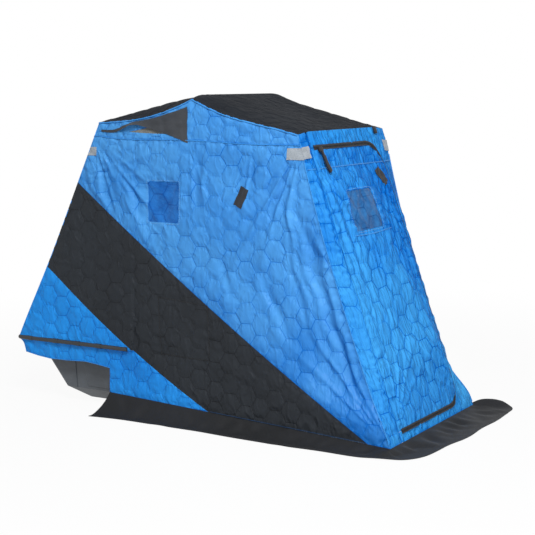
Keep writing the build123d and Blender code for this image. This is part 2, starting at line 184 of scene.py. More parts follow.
class SideWall:
    """A side of the cabin: along is the distance back, up runs up the leaning cloth."""

    def __init__(self, hand):
        self.hand, self.turned = hand, hand < 0
        self.out = np.array([0, hand * math.cos(side_lean), math.sin(side_lean)])

    def place(self, uv, lift):
        back, height = uv[:, 0], foot + uv[:, 1] * math.cos(side_lean)
        y = half_floor - uv[:, 1] * math.sin(side_lean)
        pull_back, pull_in = corner_pull(height)
        behind = back - front_back(height)
        free = 1 - bell(from_bows(back, height), 0.09)
        near = bell(behind, 0.28) * np.where(behind > 0.01, free, 1)
        hang = roof_hang(back) * bell(roof_height(back) - height, 0.11)
        swell = rail_swell(height) * (back > rail_start)
        end = bell(rear_back(height) - back, 0.05)
        x = seam_x - back - pull_back * near - swell * end
        y = self.hand * (y - pull_in * near + swell)
        return np.stack([x, y, height - hang], 1) + lift[:, None] * self.out


class CrossWall:
    """Cloth across the cabin: along is y, up runs along a bent line seen from the side."""

    def __init__(self, line, front=False):
        self.line = np.array([(seam_x - back, height) for back, height in line])
        steps = np.diff(self.line, axis=0)
        self.lengths = np.concatenate([[0], np.cumsum(np.linalg.norm(steps, axis=1))])
        self.ways = steps / np.linalg.norm(steps, axis=1)[:, None]
        self.front, self.turned = front, False

    def place(self, uv, lift):
        part = np.searchsorted(self.lengths, uv[:, 1], side="right") - 1
        part = np.clip(part, 0, len(self.ways) - 1)
        way = self.ways[part]
        spot = self.line[part] + way * (uv[:, 1] - self.lengths[part])[:, None]
        back, height = seam_x - spot[:, 0], spot[:, 1]
        side, edge = np.where(uv[:, 0] < 0, -1.0, 1.0), half_width(height)
        x, y, z = spot[:, 0] + lift * way[:, 1], uv[:, 0], height - lift * way[:, 0]
        if self.front:
            pull_back, pull_in = corner_pull(height)
            share = np.clip((np.abs(y) - stiff_front) / (edge - stiff_front), 0, 1) ** 1.3
            x, y = x - pull_back * share, y - side * pull_in * share
        else:
            from_edge, swell = edge - np.abs(y), rail_swell(height)
            z = z - roof_hang(back) * bell(from_edge, 0.09)
            x, y = x - swell, y + side * swell * bell(from_edge, 0.05)
        below = np.maximum(0, roof_height(back) - height)
        rise = roof_rise(uv[:, 0], np.clip(back, front_eave[0], rear_eave[0]))
        return np.stack([x, y, z + rise * bell(below, 0.10)], 1)

    def bulge(self, uv):
        """How far the sag and the crown carry points out of the wall's flat first stretch."""
        way, start = self.ways[0], np.array([self.line[0][0], 0, self.line[0][1]])
        return (self.place(uv, np.zeros(len(uv))) - start) @ np.array([way[1], 0, -way[0]])


right_wall, left_wall = SideWall(-1), SideWall(1)
front_wall = CrossWall([(0, foot), front_eave], front=True)
front_roof_wall = CrossWall([front_eave, ridge])
rear_roof_wall = CrossWall([ridge, rear_eave])
rear_end_wall = CrossWall([rear_eave, rail, drape])
print("front wall is", round(front_wall.lengths[-1], 3), "m up the slope")

# %% [markdown]
# ## Cutting cloth
# A cut is an outline, perhaps with window holes. A grid would leave steps along
# the slanted seams, so the cut is filled by a constrained triangulation: the
# outline's points are kept exactly and an even lattice fills the rest. Strips and
# flaps, which are narrow and curved, are laid out as a plain grid instead.


# %% Fill an outline with even triangles
def spaced(points, step, closed=True):
    """Points along a line at even steps, with its corners kept."""
    points = np.asarray(points, float)
    ends = np.roll(points, -1, 0) if closed else points[1:]
    starts = points if closed else points[:-1]
    out = []
    for a, b in zip(starts, ends):
        count = max(1, round(float(np.linalg.norm(b - a)) / step))
        out.append(a + (b - a) * (np.arange(count) / count)[:, None])
    return np.concatenate(out if closed else out + [points[-1:]])


def inside(points, loop):
    """Which points lie inside a closed line."""
    found = np.zeros(len(points), bool)
    for (ax, ay), (bx, by) in zip(loop, np.roll(loop, -1, 0)):
        if ay == by:
            continue
        crossed = (points[:, 1] < ay) != (points[:, 1] < by)
        found ^= crossed & (points[:, 0] < ax + (points[:, 1] - ay) * (bx - ax) / (by - ay))
    return found


def to_line(points, line, closed=True):
    """Distance to a line, and how far along it the nearest place is."""
    best, along, run = np.full(len(points), 9.0), np.zeros(len(points)), 0.0
    ends = np.roll(line, -1, 0) if closed else line[1:]
    for a, b in zip(line, ends):
        way = b - a
        length = float(np.linalg.norm(way))
        share = np.clip((points - a) @ way / length ** 2, 0, 1)
        gap = np.linalg.norm(points - a - share[:, None] * way, axis=1)
        closer = gap < best
        best, along = np.where(closer, gap, best), np.where(closer, run + share * length, along)
        run += length
    return best, along


def flat_areas(points, triangles):
    """Areas of flat triangles, below zero where they face down."""
    a, b, c = (points[triangles[:, i]] for i in range(3))
    return np.cross(b - a, c - a) / 2


def grid_triangles(rows, columns):
    """Two triangles for each square of a grid of points."""
    grid = np.arange(rows * columns).reshape(rows, columns)
    a, b, c, d = (g.ravel() for g in (grid[:-1, :-1], grid[:-1, 1:], grid[1:, 1:], grid[1:, :-1]))
    return np.concatenate([np.stack([a, b, c], 1), np.stack([a, c, d], 1)])


def cut_cloth(loop, holes, step):
    """Flat points, triangles and area of an outline, with its holes left open."""
    rings = [spaced(ring, step) for ring in (loop, *holes)]
    low, high = rings[0].min(0), rings[0].max(0)
    lattice = []
    for number, y in enumerate(np.arange(low[1] + step / 2, high[1], step * 0.866)):
        x = np.arange(low[0] + (number % 2) * step / 2, high[0], step)
        lattice.append(np.stack([x, np.full(len(x), y)], 1))
    lattice = np.concatenate(lattice)
    lattice = lattice[inside(lattice, rings[0])]
    for ring in rings:
        lattice = lattice[to_line(lattice, ring)[0] > step * 0.55]
    edges, start = [], len(rings[0])
    for ring in rings[1:]:
        lattice = lattice[~inside(lattice, ring)]
        edges += [(start + i, start + (i + 1) % len(ring)) for i in range(len(ring))]
        start += len(ring)
    spots = [Vector(p) for p in np.concatenate(rings + [lattice])]
    made = delaunay_2d_cdt(spots, edges, [list(range(len(rings[0])))], 1, 1e-7)
    flat, faces = np.array([v[:] for v in made[0]]), np.array(made[2])
    for ring in rings[1:]:
        faces = faces[~inside(flat[faces].mean(1), ring)]
    area = flat_areas(flat, faces)
    faces[area < 0] = faces[area < 0][:, ::-1]
    return flat, faces[np.abs(area) > 1e-12], float(np.abs(area).sum())


square = cut_cloth(np.array([(0, 0), (1, 0), (1, 1), (0, 1)]), [], 0.1)
print("a square of", round(square[2], 4), "square metres is cut into", len(square[1]), "triangles")

# %% [markdown]
# ## Quilting and wrinkles
# The cloth is stitched in a honeycomb over padding, so each cell puffs up and each
# stitch line is a groove. Near a seam the thread gathers the cloth into short
# puckers, and from the corners longer folds fan out. A height map in numpy gives
# all of this on the cut, where the distances to seams are known.

# %% Patterns in flat cloth
root3 = math.sqrt(3)


def hexagons(q):
    """Distance to the honeycomb's nearest stitch line, and a number for each cell."""
    span = np.array([root3, 1.0])
    first = (q / span) % 1 * span - span / 2
    second = (q / span + 0.5) % 1 * span - span / 2
    nearer = (first ** 2).sum(1) < (second ** 2).sum(1)
    local = np.where(nearer[:, None], first, second)
    middle = np.round(q - local, 2)
    across, up = np.abs(local).T
    edge = 0.5 - np.maximum(up, across * root3 / 2 + up / 2)
    return edge, (np.sin(middle @ np.array([12.9898, 78.233])) * 43758.5453) % 1


def ripples(points, length, seed, waves=10):
    """Smooth uneven waves of about one length, mostly between -1 and 1."""
    chance = np.random.default_rng(seed)
    turns = chance.uniform(0, 2 * np.pi, waves)
    sizes = 2 * np.pi / (length * chance.uniform(0.7, 1.6, waves))
    ways = np.stack([np.cos(turns), np.sin(turns)]) * sizes
    return np.sin(points @ ways + chance.uniform(0, 2 * np.pi, waves)).sum(1) / math.sqrt(waves)


def creases(points, length, seed, stretch):
    """Narrow ridges that branch, as in cloth that has been folded away."""
    return bell(ripples(points * stretch, length, seed, 12), 0.32)


def fan(points, corner, heading, spread, folds, reach, depth):
    """Folds that fan out from a corner, deepest a third of their reach away."""
    run = points - np.array(corner)
    far = np.linalg.norm(run, axis=1)
    turn = np.arctan2(run[:, 1], run[:, 0]) - math.radians(heading)
    turn = (turn + np.pi) % (2 * np.pi) - np.pi
    width = math.radians(spread)
    rise = far / reach * 3 * np.exp(1 - far / reach * 3)
    ridge_shape = np.exp((np.cos(turn / width * folds * np.pi) - 1) / 0.45) - 0.4
    return depth * rise * bell(turn, width) * ridge_shape


stitch_gaps = hexagons(np.array([[0.0, 0.0], [0.4, 0.2]]))[0]
print("two spots lie", [round(float(v), 3) for v in stitch_gaps], "of a cell from a stitch line")

# %% [markdown]
# A panel is one cut with everything that shapes it. Its large forms come first: the
# slack, the folds, the pleats, and a crest where the door is pulled out. The padding,
# the crumples and the puckers are added to its face alone, so its back stays smoother.
# The hinge is pressed into a crease on the door's axis, and so it opens without a gap.

# %% Height of quilted cloth over its flat cut
cloth_thick = 0.0035
hinge_width, hinge_depth = 0.014, 0.0030


class Panel:
    """One cut of cloth on a wall, with what it takes to work out its height."""

    puff, cell = 0.0037, (0.100, 0.100)
    gather, hold = 0.0034, 0.030
    slack, crumple, grain = 0.006, 0.0014, (0.8, 0.40)
    folds, pleats, press, crest, crease = (), (), (), None, None

    def __init__(self, wall, loop, seed, holes=(), seams=(), **shape):
        self.wall, self.loop, self.seed = wall, np.asarray(loop, float), seed
        self.holes = [np.asarray(hole, float) for hole in holes]
        self.seams = [np.asarray(seam, float) for seam in seams]
        for name, value in shape.items():
            setattr(self, name, value)

    def quilt(self, uv):
        """Place of points on the honeycomb, in cells, a little uneven as sewn cloth is."""
        drift = np.stack([ripples(uv, 0.30, self.seed), ripples(uv, 0.30, self.seed + 1)], 1)
        return (uv + 0.006 * drift) / self.cell

    def seam_gap(self, uv):
        """Distance to the nearest seam or edge, and how far along it that is."""
        lines = [(ring, True) for ring in (self.loop, *self.holes)]
        gap, along = np.full(len(uv), 9.0), np.zeros(len(uv))
        for line, closed in lines + [(seam, False) for seam in self.seams]:
            near, where = to_line(uv, line, closed)
            along, gap = np.where(near < gap, where, along), np.minimum(gap, near)
        return gap, along

    def pleat(self, uv, bend, start, end, width, depth):
        """A long fold with a shallow valley beside it."""
        run, away = np.subtract(end, start), uv - np.array(start)
        share = away @ run / (run @ run)
        across = (away @ np.array([-run[1], run[0]]) / np.linalg.norm(run) + bend) / width
        shape = bell(across, 1) - 0.6 * bell(across - 1.5, 1)
        return depth * shape * np.exp(-((share - 0.5) / 0.45) ** 4)

    def pulled_out(self, uv):
        """A tent shape, whose crest runs up a slanted line."""
        (low_u, low_v), (high_u, high_v), high = self.crest
        (left, bottom), (right, top) = self.loop.min(0), self.loop.max(0)
        u, v = uv.T
        middle = low_u + (v - low_v) * (high_u - low_u) / (high_v - low_v)
        near = np.where(u < middle, (u - left) / (middle - left), (right - u) / (right - middle))
        return high * np.clip(near, 0, 1) * (1 - bell(np.minimum(v - bottom, top - v), 0.16))

    def large_forms(self, uv):
        """Slack, folds, pleats and crest, held flat at the edges and over the bows."""
        rim = to_line(uv, self.loop)[0]
        base = (self.slack * ripples(uv, 0.40, self.seed + 2) - self.slack) * (1 - bell(rim, 0.12))
        for fold in self.folds:
            base = base + fan(uv, *fold) * (1 - bell(rim, 0.03))
        bend = 0.014 * ripples(uv, 0.22, self.seed + 6)
        for pleat in self.pleats:
            base = base + self.pleat(uv, bend, *pleat) * (1 - bell(rim, 0.02))
        if self.crest:
            base = base + self.pulled_out(uv) * (1 - bell(rim, 0.03))
        if isinstance(self.wall, SideWall):
            height = foot + uv[:, 1] * math.cos(side_lean)
            base = base * (1 - 0.8 * bell(from_bows(uv[:, 0], height), 0.05))
        return base

    def relief(self, uv):
        """Height of the cloth's face and of its back over the wall."""
        base = self.large_forms(uv)
        gap, along = self.seam_gap(uv)
        edge, chance = hexagons(self.quilt(uv))
        puff = self.puff * (0.7 + 0.5 * chance) * (1 - bell(edge, 0.15))
        patchy = 0.65 + 0.5 * ripples(uv, 0.30, self.seed + 5)
        ridges = creases(uv, 0.13, self.seed + 4, self.grain) - 0.4
        crumple = self.crumple * patchy.clip(0.1) * ridges
        waves = ripples(np.stack([along, gap * 0.25 + self.seed], 1), 0.042, self.seed + 3)
        pucker = self.gather * waves * np.exp(-gap / self.hold) * (1 - np.exp(-gap / 0.005))
        face = base + (1 - bell(gap, 0.018)) * (puff + crumple) + pucker
        for u, v, reach, floor in self.press:
            held = np.exp(-(((uv - np.array((u, v))) / np.array(reach)) ** 2).sum(1) * 2)
            face = face + (np.minimum(face, floor) - face) * held
        if self.crease is not None:
            dip = bell(uv[:, 0] - self.crease, hinge_width)
            line = np.stack([np.full(len(uv), self.crease), uv[:, 1]], 1)
            face = face * (1 - dip) - (hinge_depth + self.wall.bulge(line)) * dip
        return face, np.minimum(base, face) - cloth_thick


print("padding puffs up by", Panel.puff, "m over cells of", Panel.cell, "m")

# %% [markdown]
# ## From cut to closed cloth
# Each cut becomes a closed thin mesh: its face with the relief, its back, and a
# rim between them. The honeycomb's coordinates go into a UV map, so that the
# material can draw its stitches in the same grooves. A second map notes how far
# each spot is turned towards the key lamp, so that the finish can paint light and
# shade on the cloth.

# %% Build a closed sheet
# the key lamp's way, used to paint light and shade on the quilted cloth
painted_light_way = np.array([0.43, -0.62, 0.66])
sharp_edge = math.radians(55)


def stand(name, data):
    """A new object in the scene."""
    thing = bpy.data.objects.new(name, data)
    bpy.context.scene.collection.objects.link(thing)
    return thing


def note_painted_light(mesh, count):
    """Keep how far the face's points turn towards the key lamp's way, against the sheet's mean, for painted
    light and shade.
    """
    ways = np.empty(3 * len(mesh.vertices), np.float32)
    mesh.vertex_normals.foreach_get("vector", ways)
    ways = ways.reshape(-1, 3)
    lie = ways[:count].mean(0)
    turned = (ways - lie / np.linalg.norm(lie)) @ painted_light_way
    turned[count:] = 0
    layer = mesh.attributes.new("turned", "FLOAT", "POINT")
    layer.data.foreach_set("value", turned.astype(np.float32))


def make_mesh(name, points, faces, finish, quilt=None):
    """A mesh object from arrays, smooth shaded, with one finish."""
    mesh = bpy.data.meshes.new(name)
    mesh.vertices.add(len(points))
    mesh.vertices.foreach_set("co", np.asarray(points, np.float32).ravel())
    faces = np.asarray(faces, np.int32)
    sides = faces.shape[1]
    mesh.loops.add(faces.size)
    mesh.loops.foreach_set("vertex_index", faces.ravel())
    mesh.polygons.add(len(faces))
    mesh.polygons.foreach_set("loop_start", np.arange(0, faces.size, sides, dtype=np.int32))
    mesh.polygons.foreach_set("use_smooth", np.ones(len(faces), bool))
    if quilt is not None:
        layer = mesh.uv_layers.new(name="quilt")
        layer.data.foreach_set("uv", np.asarray(quilt, np.float32)[faces.ravel()].ravel())
    mesh.update(calc_edges=True)
    if quilt is not None:
        note_painted_light(mesh, len(points) // 2)
    mesh.set_sharp_from_angle(angle=sharp_edge)
    mesh.materials.append(finish)
    return stand(name, mesh)


def closed_sheet(name, face, back, triangles, turned, finish, quilt):
    """Join a face and a back of the same cut by a rim."""
    count = len(face)
    edges = np.concatenate([triangles[:, [0, 1]], triangles[:, [1, 2]], triangles[:, [2, 0]]])
    keys = edges.min(1).astype(np.int64) * count + edges.max(1)
    _, first, uses = np.unique(keys, return_index=True, return_counts=True)
    a, b = edges[first[uses == 1]].T
    rim = np.concatenate([np.stack([b, a, a + count], 1), np.stack([b, a + count, b + count], 1)])
    faces = np.concatenate([triangles, triangles[:, ::-1] + count, rim])
    if turned:
        faces = faces[:, ::-1]
    return make_mesh(name, np.concatenate([face, back]), faces, finish, np.concatenate([quilt, quilt]))


def lay(name, wall, cut, triangles, face, back, finish, quilt):
    """A closed sheet on a wall, from the heights of its face and its back."""
    face, back = wall.place(cut, face), wall.place(cut, back)
    return closed_sheet(name, face, back, triangles, wall.turned, finish, quilt)


def declare(piece, size, area, body, nodes):
    """Put a sheet on the body it rides, hide the imported parts it stands for, and print its size."""
    size = tuple(map(float, size))
    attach(piece, body)
    if nodes:
        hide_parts(*nodes)
    count = len(piece.data.polygons)
    print(piece.name, count, "triangles, cut", [round(v, 3) for v in size], "m, area", round(area, 4))


def sew(name, panel, finish, node, body="hut", slot="blue_cloth", step=0.008):
    cut, triangles, area = cut_cloth(panel.loop, panel.holes, step)
    piece = lay(name, panel.wall, cut, triangles, *panel.relief(cut), finish, panel.quilt(cut))
    declare(piece, np.ptp(cut, axis=0), area, body, [node])


print("edges are sharp from", round(math.degrees(sharp_edge)), "degrees")

# %% [markdown]
# ## Finishes
# A small class lets shader values be written as sums, which reads better than a long
# list of nodes and links. Colours are given as a screen shows them.


# %% Shader values as expressions
def screen(colour):
    """A colour as a screen shows it, from 0 to 255, for a shader."""
    parts = [v / 255 for v in colour]
    return tuple(v / 12.92 if v <= 0.04045 else ((v + 0.055) / 1.055) ** 2.4 for v in parts) + (1.0,)


class Wire:
    """One output of a finish's nodes, to reckon with like a number."""

    def __init__(self, socket):
        self.socket = socket

    def node(self, kind, settings=None, values=None, output=0):
        tree = self.socket.id_data
        made = tree.nodes.new(kind)
        for name, value in (settings or {}).items():
            setattr(made, name, value)
        for name, value in (values or {}).items():
            if isinstance(value, Wire):
                tree.links.new(value.socket, made.inputs[name])
            else:
                made.inputs[name].default_value = value
        return Wire(made.outputs[output])

    def math(self, operation, *others):
        values = dict(enumerate((self,) + others))
        return self.node("ShaderNodeMath", {"operation": operation}, values)

    def other(self, output):
        return Wire(self.socket.node.outputs[output])

    def __add__(self, value):
        return self.math("ADD", value)

    def __sub__(self, value):
        return self.math("SUBTRACT", value)

    def __rsub__(self, value):
        return self.math("MULTIPLY", -1.0).math("ADD", value)

    def __mul__(self, value):
        return self.math("MULTIPLY", value)

    def __truediv__(self, value):
        return self.math("DIVIDE", value)

    __radd__, __rmul__ = __add__, __mul__

    def fade(self, start, end, low=0.0, high=1.0):
        values = {"Value": self, "From Min": start, "From Max": end, "To Min": low, "To Max": high}
        return self.node("ShaderNodeMapRange", {"interpolation_type": "SMOOTHSTEP"}, values)

    def noise(self, scale, detail=3.0, roughness=0.5):
        values = {"Vector": self, "Scale": scale, "Detail": detail, "Roughness": roughness}
        return self.node("ShaderNodeTexNoise", {}, values)

    def wrinkles(self, scale, width, detail=1.0):
        """Thin ridges where a noise passes through its middle."""
        return (self.noise(scale, detail) - 0.5).math("ABSOLUTE").fade(0.0, width, 1.0, 0.0)

    def mix(self, pale, deep):
        values = {0: self, 6: screen(pale), 7: screen(deep)}
        return self.node("ShaderNodeMix", {"data_type": "RGBA"}, values, 2)

    def bump(self, strength, distance):
        values = {"Strength": strength, "Distance": distance, "Height": self}
        return self.node("ShaderNodeBump", {}, values)


def new_finish(name, fixed):
    """A finish with its constant sockets set: the material, its shader, its object coordinates."""
    finish = bpy.data.materials.new(name)
    finish.use_nodes = True
    shader = finish.node_tree.nodes["Principled BSDF"]
    for socket, value in fixed.items():
        shader.inputs[socket].default_value = value
    return finish, shader, Wire(finish.node_tree.nodes.new("ShaderNodeTexCoord").outputs["Object"])


def feed(shader, **sockets):
    """Link values that change over the surface to a shader."""
    for name, wire in sockets.items():
        shader.id_data.links.new(wire.socket, shader.inputs[name.replace("_", " ")])


print("mid grey in a shader is", round(screen((128, 128, 128))[0], 3))

# %% [markdown]
# The quilted cloth is a tightly woven polyester: fairly bright, slightly glossy, with fine
# puckers that are too small for the mesh and so go into a bump. It is darker along the
# stitch lines, partly the stitched line and partly painted shade in the grooves. It is
# painted paler where it turns towards the key lamp and deeper where it turns away. The
# front, the sides and the rear get copies of the blue whose colours are set apart by how
# each wall is lit, and their colour is painted deeper up or down the wall, as painted
# shade. On the front it is also painted deeper towards the far side, as painted shade.


# %% Quilted cloth
def stitch_distance(place):
    """The honeycomb's distance to its stitch lines, from the quilt map."""
    grid = place.node("ShaderNodeUVMap", {"uv_map": "quilt"})
    across = place.node("ShaderNodeSeparateXYZ", {}, {0: grid})
    up = across.other(1)
    cells = []
    for shift in (0.0, 0.5):
        x = ((across / root3) + shift).math("FRACT") * root3 - root3 / 2
        y = (up + shift).math("FRACT") - 0.5
        cells.append((x, y, x * x + y * y))
    (x, y, far), (other_x, other_y, other_far) = cells
    first = far.math("LESS_THAN", other_far)
    x = (other_x + (x - other_x) * first).math("ABSOLUTE")
    y = (other_y + (y - other_y) * first).math("ABSOLUTE")
    return 0.5 - y.math("MAXIMUM", x * (root3 / 2) + y * 0.5)


def quilted_cloth(name, pale, deep, rough, gloss, stitch, fold=0.9, fine=0.6, drag=(1.0, 0.55, 1.0),
                  painted_light=0.0, painted_height_shade=(1.0, 0.0, 0.0), beyond=0.0):
    """Woven polyester, stitched in a honeycomb over padding."""
    finish, shader, place = new_finish(name, {"Specular IOR Level": gloss})
    edge = stitch_distance(place)
    grid = place.node("ShaderNodeUVMap", {"uv_map": "quilt"})
    drawn = place.node("ShaderNodeVectorMath", {"operation": "MULTIPLY"}, {0: grid, 1: drag})
    patchy = place.noise(5.0, 1.0).fade(0.35, 0.65, 0.25, 1.0)
    groove = edge.fade(0.0, 0.035, 1.0, 0.0) * patchy
    beside = edge.fade(0.02, 0.30, 1.0, 0.30)
    sharp, small = drawn.wrinkles(1.5, 0.10), drawn.wrinkles(4.0, 0.16)
    broad, weave = place.noise(3.2, 2.0), place.noise(700.0, 1.0)
    turned = place.node("ShaderNodeAttribute", {"attribute_name": "turned"}, output="Fac")
    level = place.node("ShaderNodeSeparateXYZ", {}, {0: place}, "Z")
    # Painted shade: the colour deepens up or down the wall, where less light falls.
    start, end, most = painted_height_shade
    # Painted light and shade: paler where the cloth turns towards the key lamp, deeper where it turns away.
    painted_light_and_shade = (0.2 if painted_light else 0.0) - turned * (2.0 * painted_light) + level.fade(start, end, 0.0, most)
    # Painted shade on the far side of the front, which is turned away from the light.
    if beyond:
        far_shade_place = level.other("Y") + level * 0.30
        painted_light_and_shade = painted_light_and_shade + far_shade_place.fade(0.300, 0.420, 0.0, beyond) * level.fade(0.15, 0.50)
    # Darker along the stitch lines and the puckers beside them: the stitched line itself, plus painted
    # shade in the grooves and puckers.
    shade = groove * stitch + broad.fade(0.30, 0.75, 0.0, 0.30) + small * beside * 0.10 + painted_light_and_shade
    height = sharp * fold + small * beside * fine - groove * (stitch * 0.85) + weave * 0.05
    feed(shader, Base_Color=shade.math("MINIMUM", 1.0).mix(pale, deep),
         Roughness=sharp * 0.08 + rough, Normal=height.bump(0.6, 0.005))
    return finish


# The blue copies differ in colour by how light falls on each wall: painted light and shade on one blue
# cloth.
blue_cloth = quilted_cloth("blue quilted cloth", (77, 150, 213), (2, 94, 178), 0.45, 0.14, 0.46, 0.55,
                           painted_light=0.3, painted_height_shade=(0.80, 0.10, 0.34))
rear_cloth = quilted_cloth("blue rear cloth", (39, 146, 229), (0, 98, 188), 0.45, 0.14, 0.58, 0.55,
                           painted_light=0.3)
front_cloth = quilted_cloth("blue front cloth", (62, 153, 218), (0, 94, 184), 0.45, 0.02, 0.70, 1.3, 1.1,
                            (1.8, 0.40, 1.0), painted_light=0.36, painted_height_shade=(0.40, 1.25, 0.26), beyond=0.22)
gathered_cloth = quilted_cloth("blue gathered cloth", (56, 150, 217), (0, 98, 186), 0.45, 0.02, 0.0, 1.5,
                               1.2, (1.8, 0.28, 1.0), painted_light=0.36, painted_height_shade=(0.40, 1.25, 0.22))
black_cloth = quilted_cloth("black quilted cloth", (42, 46, 51), (25, 27, 31), 0.50, 0.12, 0.6)
roof_cloth = quilted_cloth("roof cloth", (34, 37, 42), (23, 25, 29), 0.70, 0.05, 0.3)
quilted = (blue_cloth, rear_cloth, front_cloth, gathered_cloth, black_cloth, roof_cloth)
print("quilted finishes:", [finish.name for finish in quilted])

# %% [markdown]
# The skirt and the vent flaps are single coated cloth without padding. They show a
# plain weave, dull where they are rubbed, and soft dirt from lying on the ice. The
# same weave serves for patches, piping, thread and zip tape.


# %% Plain woven cloth
def woven_cloth(name, pale, deep, rough):
    """Single coated cloth with a plain weave."""
    finish, shader, place = new_finish(name, {"Sheen Weight": 0.05, "Specular IOR Level": 0.25})
    broad, fine, weave = place.noise(5.0, 3.0), place.noise(45.0, 3.0, 0.6), place.noise(900.0, 1.0)
    shade = broad.fade(0.3, 0.7, 0.0, 0.7) + weave * 0.25
    feed(shader, Base_Color=shade.math("MINIMUM", 1.0).mix(pale, deep),
         Roughness=fine * 0.15 + (rough - 0.07), Normal=(fine * 0.6 + weave * 0.12).bump(0.5, 0.003))
    return finish


skirt_cloth = woven_cloth("skirt cloth", (22, 24, 28), (14, 16, 19), 0.66)
flap_cloth = woven_cloth("flap cloth", (60, 63, 68), (48, 51, 56), 0.6)
print("woven finishes:", skirt_cloth.name, flap_cloth.name)

# %% [markdown]
# ## The two sides
# Four cuts meet on a side: the gable under the roof, the blue main panel with its
# window, the black diagonal band and the blue rear panel that drapes over the sled.
# They are cut apart as on the real hut, so that every seam gathers the cloth on both
# sides. Points on a side are given as a distance back and a height.


# %% Seams of a side
def seam_height(back):
    """Height of the side's foot seam."""
    return foot + 0.076 * back / 1.600


def sagging(start, end, sag=0.034):
    """A seam that hangs a little below the straight line."""
    share = np.linspace(0, 1, 60)[:, None]
    line = np.array(start) + (np.array(end) - np.array(start)) * share
    line[:, 1] -= sag * 4 * share[:, 0] * (1 - share[:, 0])
    return line


def box_loop(low, high, corner):
    """A rounded rectangle as a closed line."""
    (left, bottom), (right, top) = np.add(low, corner), np.subtract(high, corner)
    out = []
    for x, y, start in ((right, top, 0), (left, top, 90), (left, bottom, 180), (right, bottom, 270)):
        turns = np.radians(start + np.linspace(0, 90, 5))
        out += [(x + corner * math.cos(t), y + corner * math.sin(t)) for t in turns]
    return np.array(out)


def drawn_in(corners, border):
    """A triangle moved inwards on all sides by a border."""
    a, b, c = corners = np.array(corners)
    sides = np.array([np.linalg.norm(b - c), np.linalg.norm(c - a), np.linalg.norm(a - b)])
    middle = (corners * sides[:, None]).sum(0) / sides.sum()
    radius = abs(np.cross(b - a, c - a)) / sides.sum()
    return middle + (corners - middle) * (1 - border / radius)


gable_front, gable_rear = at(front_back(1.380), 1.380), at(rear_back(1.410), 1.410)
band_top_front, band_top_rear = at(0.113, seam_height(0.113)), at(rear_back(1.173), 1.173)
band_low_front, band_low_rear = at(0.991, seam_height(0.991)), at(rear_back(0.729), 0.729)
band_top = sagging(band_top_rear, band_top_front)
band_low = sagging(band_low_rear, band_low_front)
vent_hole = drawn_in([at(1.640, 1.441), at(1.110, 1.392), at(1.110, 1.557)], 0.026)
window_low = at(1.360, 0.991)[1]
side_window_loop = box_loop((1.170, window_low), (1.360, window_low + 0.199), 0.012)
drape_edge = [at(*p) for p in ((2.163, 0.262), (2.080, 0.249), (2.000, 0.241), (1.880, 0.243),
                               (1.762, 0.249), (1.680, 0.242), (1.600, 0.232))]
pocket = [at(*p) for p in ((1.292, 0.620), (0.995, 0.599), (0.986, 0.330), (1.275, 0.335), (1.292, 0.620))]
print("side window", np.ptp(side_window_loop, axis=0).round(3), "vent", np.ptp(vent_hole, axis=0).round(3))

# %% [markdown]
# A fan of folds is given by its corner, heading and spread in degrees, number of folds,
# reach and depth. A pleat is given by its two ends, width and depth. They start where
# the bows and the window hold the cloth, because that is where it is pulled.

# %% Cuts of a side
main_pleats = [
    ((1.66, 1.39), (1.36, 0.99), 0.020, -0.008), ((1.61, 1.39), (1.47, 1.06), 0.018, 0.006),
    ((1.70, 1.33), (1.52, 0.98), 0.022, -0.008), ((1.76, 1.24), (1.60, 1.05), 0.018, 0.006),
    ((1.075, 1.37), (1.05, 1.06), 0.018, -0.006), ((1.02, 1.34), (1.01, 1.12), 0.016, 0.005),
    ((0.58, 1.33), (0.80, 0.98), 0.020, -0.009), ((0.64, 1.34), (0.92, 0.96), 0.020, 0.007),
    ((0.55, 1.29), (0.64, 0.98), 0.018, -0.008), ((0.52, 1.22), (0.52, 0.92), 0.016, 0.007),
    ((0.47, 1.08), (0.20, 0.28), 0.024, -0.009), ((0.53, 1.00), (0.34, 0.40), 0.022, 0.007),
    ((0.38, 0.98), (0.13, 0.26), 0.020, 0.008), ((0.72, 0.80), (0.52, 0.44), 0.022, -0.007),
    ((0.95, 0.86), (0.86, 0.62), 0.020, -0.006), ((0.30, 0.60), (0.10, 0.12), 0.018, -0.008)]
side_folds = {
    "gable": [((0.50, 1.42), 15, 30, 3, 0.25, 0.003)],
    "main": [((1.69, 1.41), -122, 24, 4, 0.80, 0.012), ((1.10, 1.40), -92, 22, 3, 0.45, 0.006),
             ((0.49, 1.38), -58, 26, 4, 0.70, 0.013), ((0.74, 1.38), -80, 16, 2, 0.55, 0.008),
             ((0.02, 0.06), 50, 26, 4, 0.70, 0.009), ((1.36, 0.99), -140, 30, 2, 0.30, 0.005),
             ((0.30, 0.92), -160, 30, 3, 0.45, 0.006), ((1.80, 1.20), 165, 18, 3, 0.50, 0.006)],
    "band": [((1.84, 1.13), -80, 24, 3, 0.60, 0.004), ((0.14, 0.06), 25, 18, 3, 0.50, 0.004)],
    "rear": [((2.05, 0.70), -60, 26, 3, 0.45, 0.004), ((1.00, 0.08), 170, 14, 2, 0.40, 0.003)]}
side_cuts = {
    "gable": dict(
        loop=[gable_front, at(*front_eave), at(*ridge), at(*rear_eave), gable_rear],
        holes=[vent_hole], puff=0.004, gather=0.0030, slack=0.002),
    "main": dict(
        loop=[band_top_front, at(0, foot), gable_front, gable_rear, *band_top[:-1]],
        holes=[side_window_loop],
        pleats=[(at(*start), at(*end), *shape) for start, end, *shape in main_pleats]),
    "band": dict(loop=[band_low_front, *band_top[::-1], *band_low[:-1]], seams=[pocket], puff=0.0045),
    "rear": dict(
        loop=[band_low_rear, at(*rail), *drape_edge, at(1.600, 0.106), *band_low[::-1][:-1]],
        seams=[[at(2.190, 0.352), at(1.476, 0.352)]]),
}
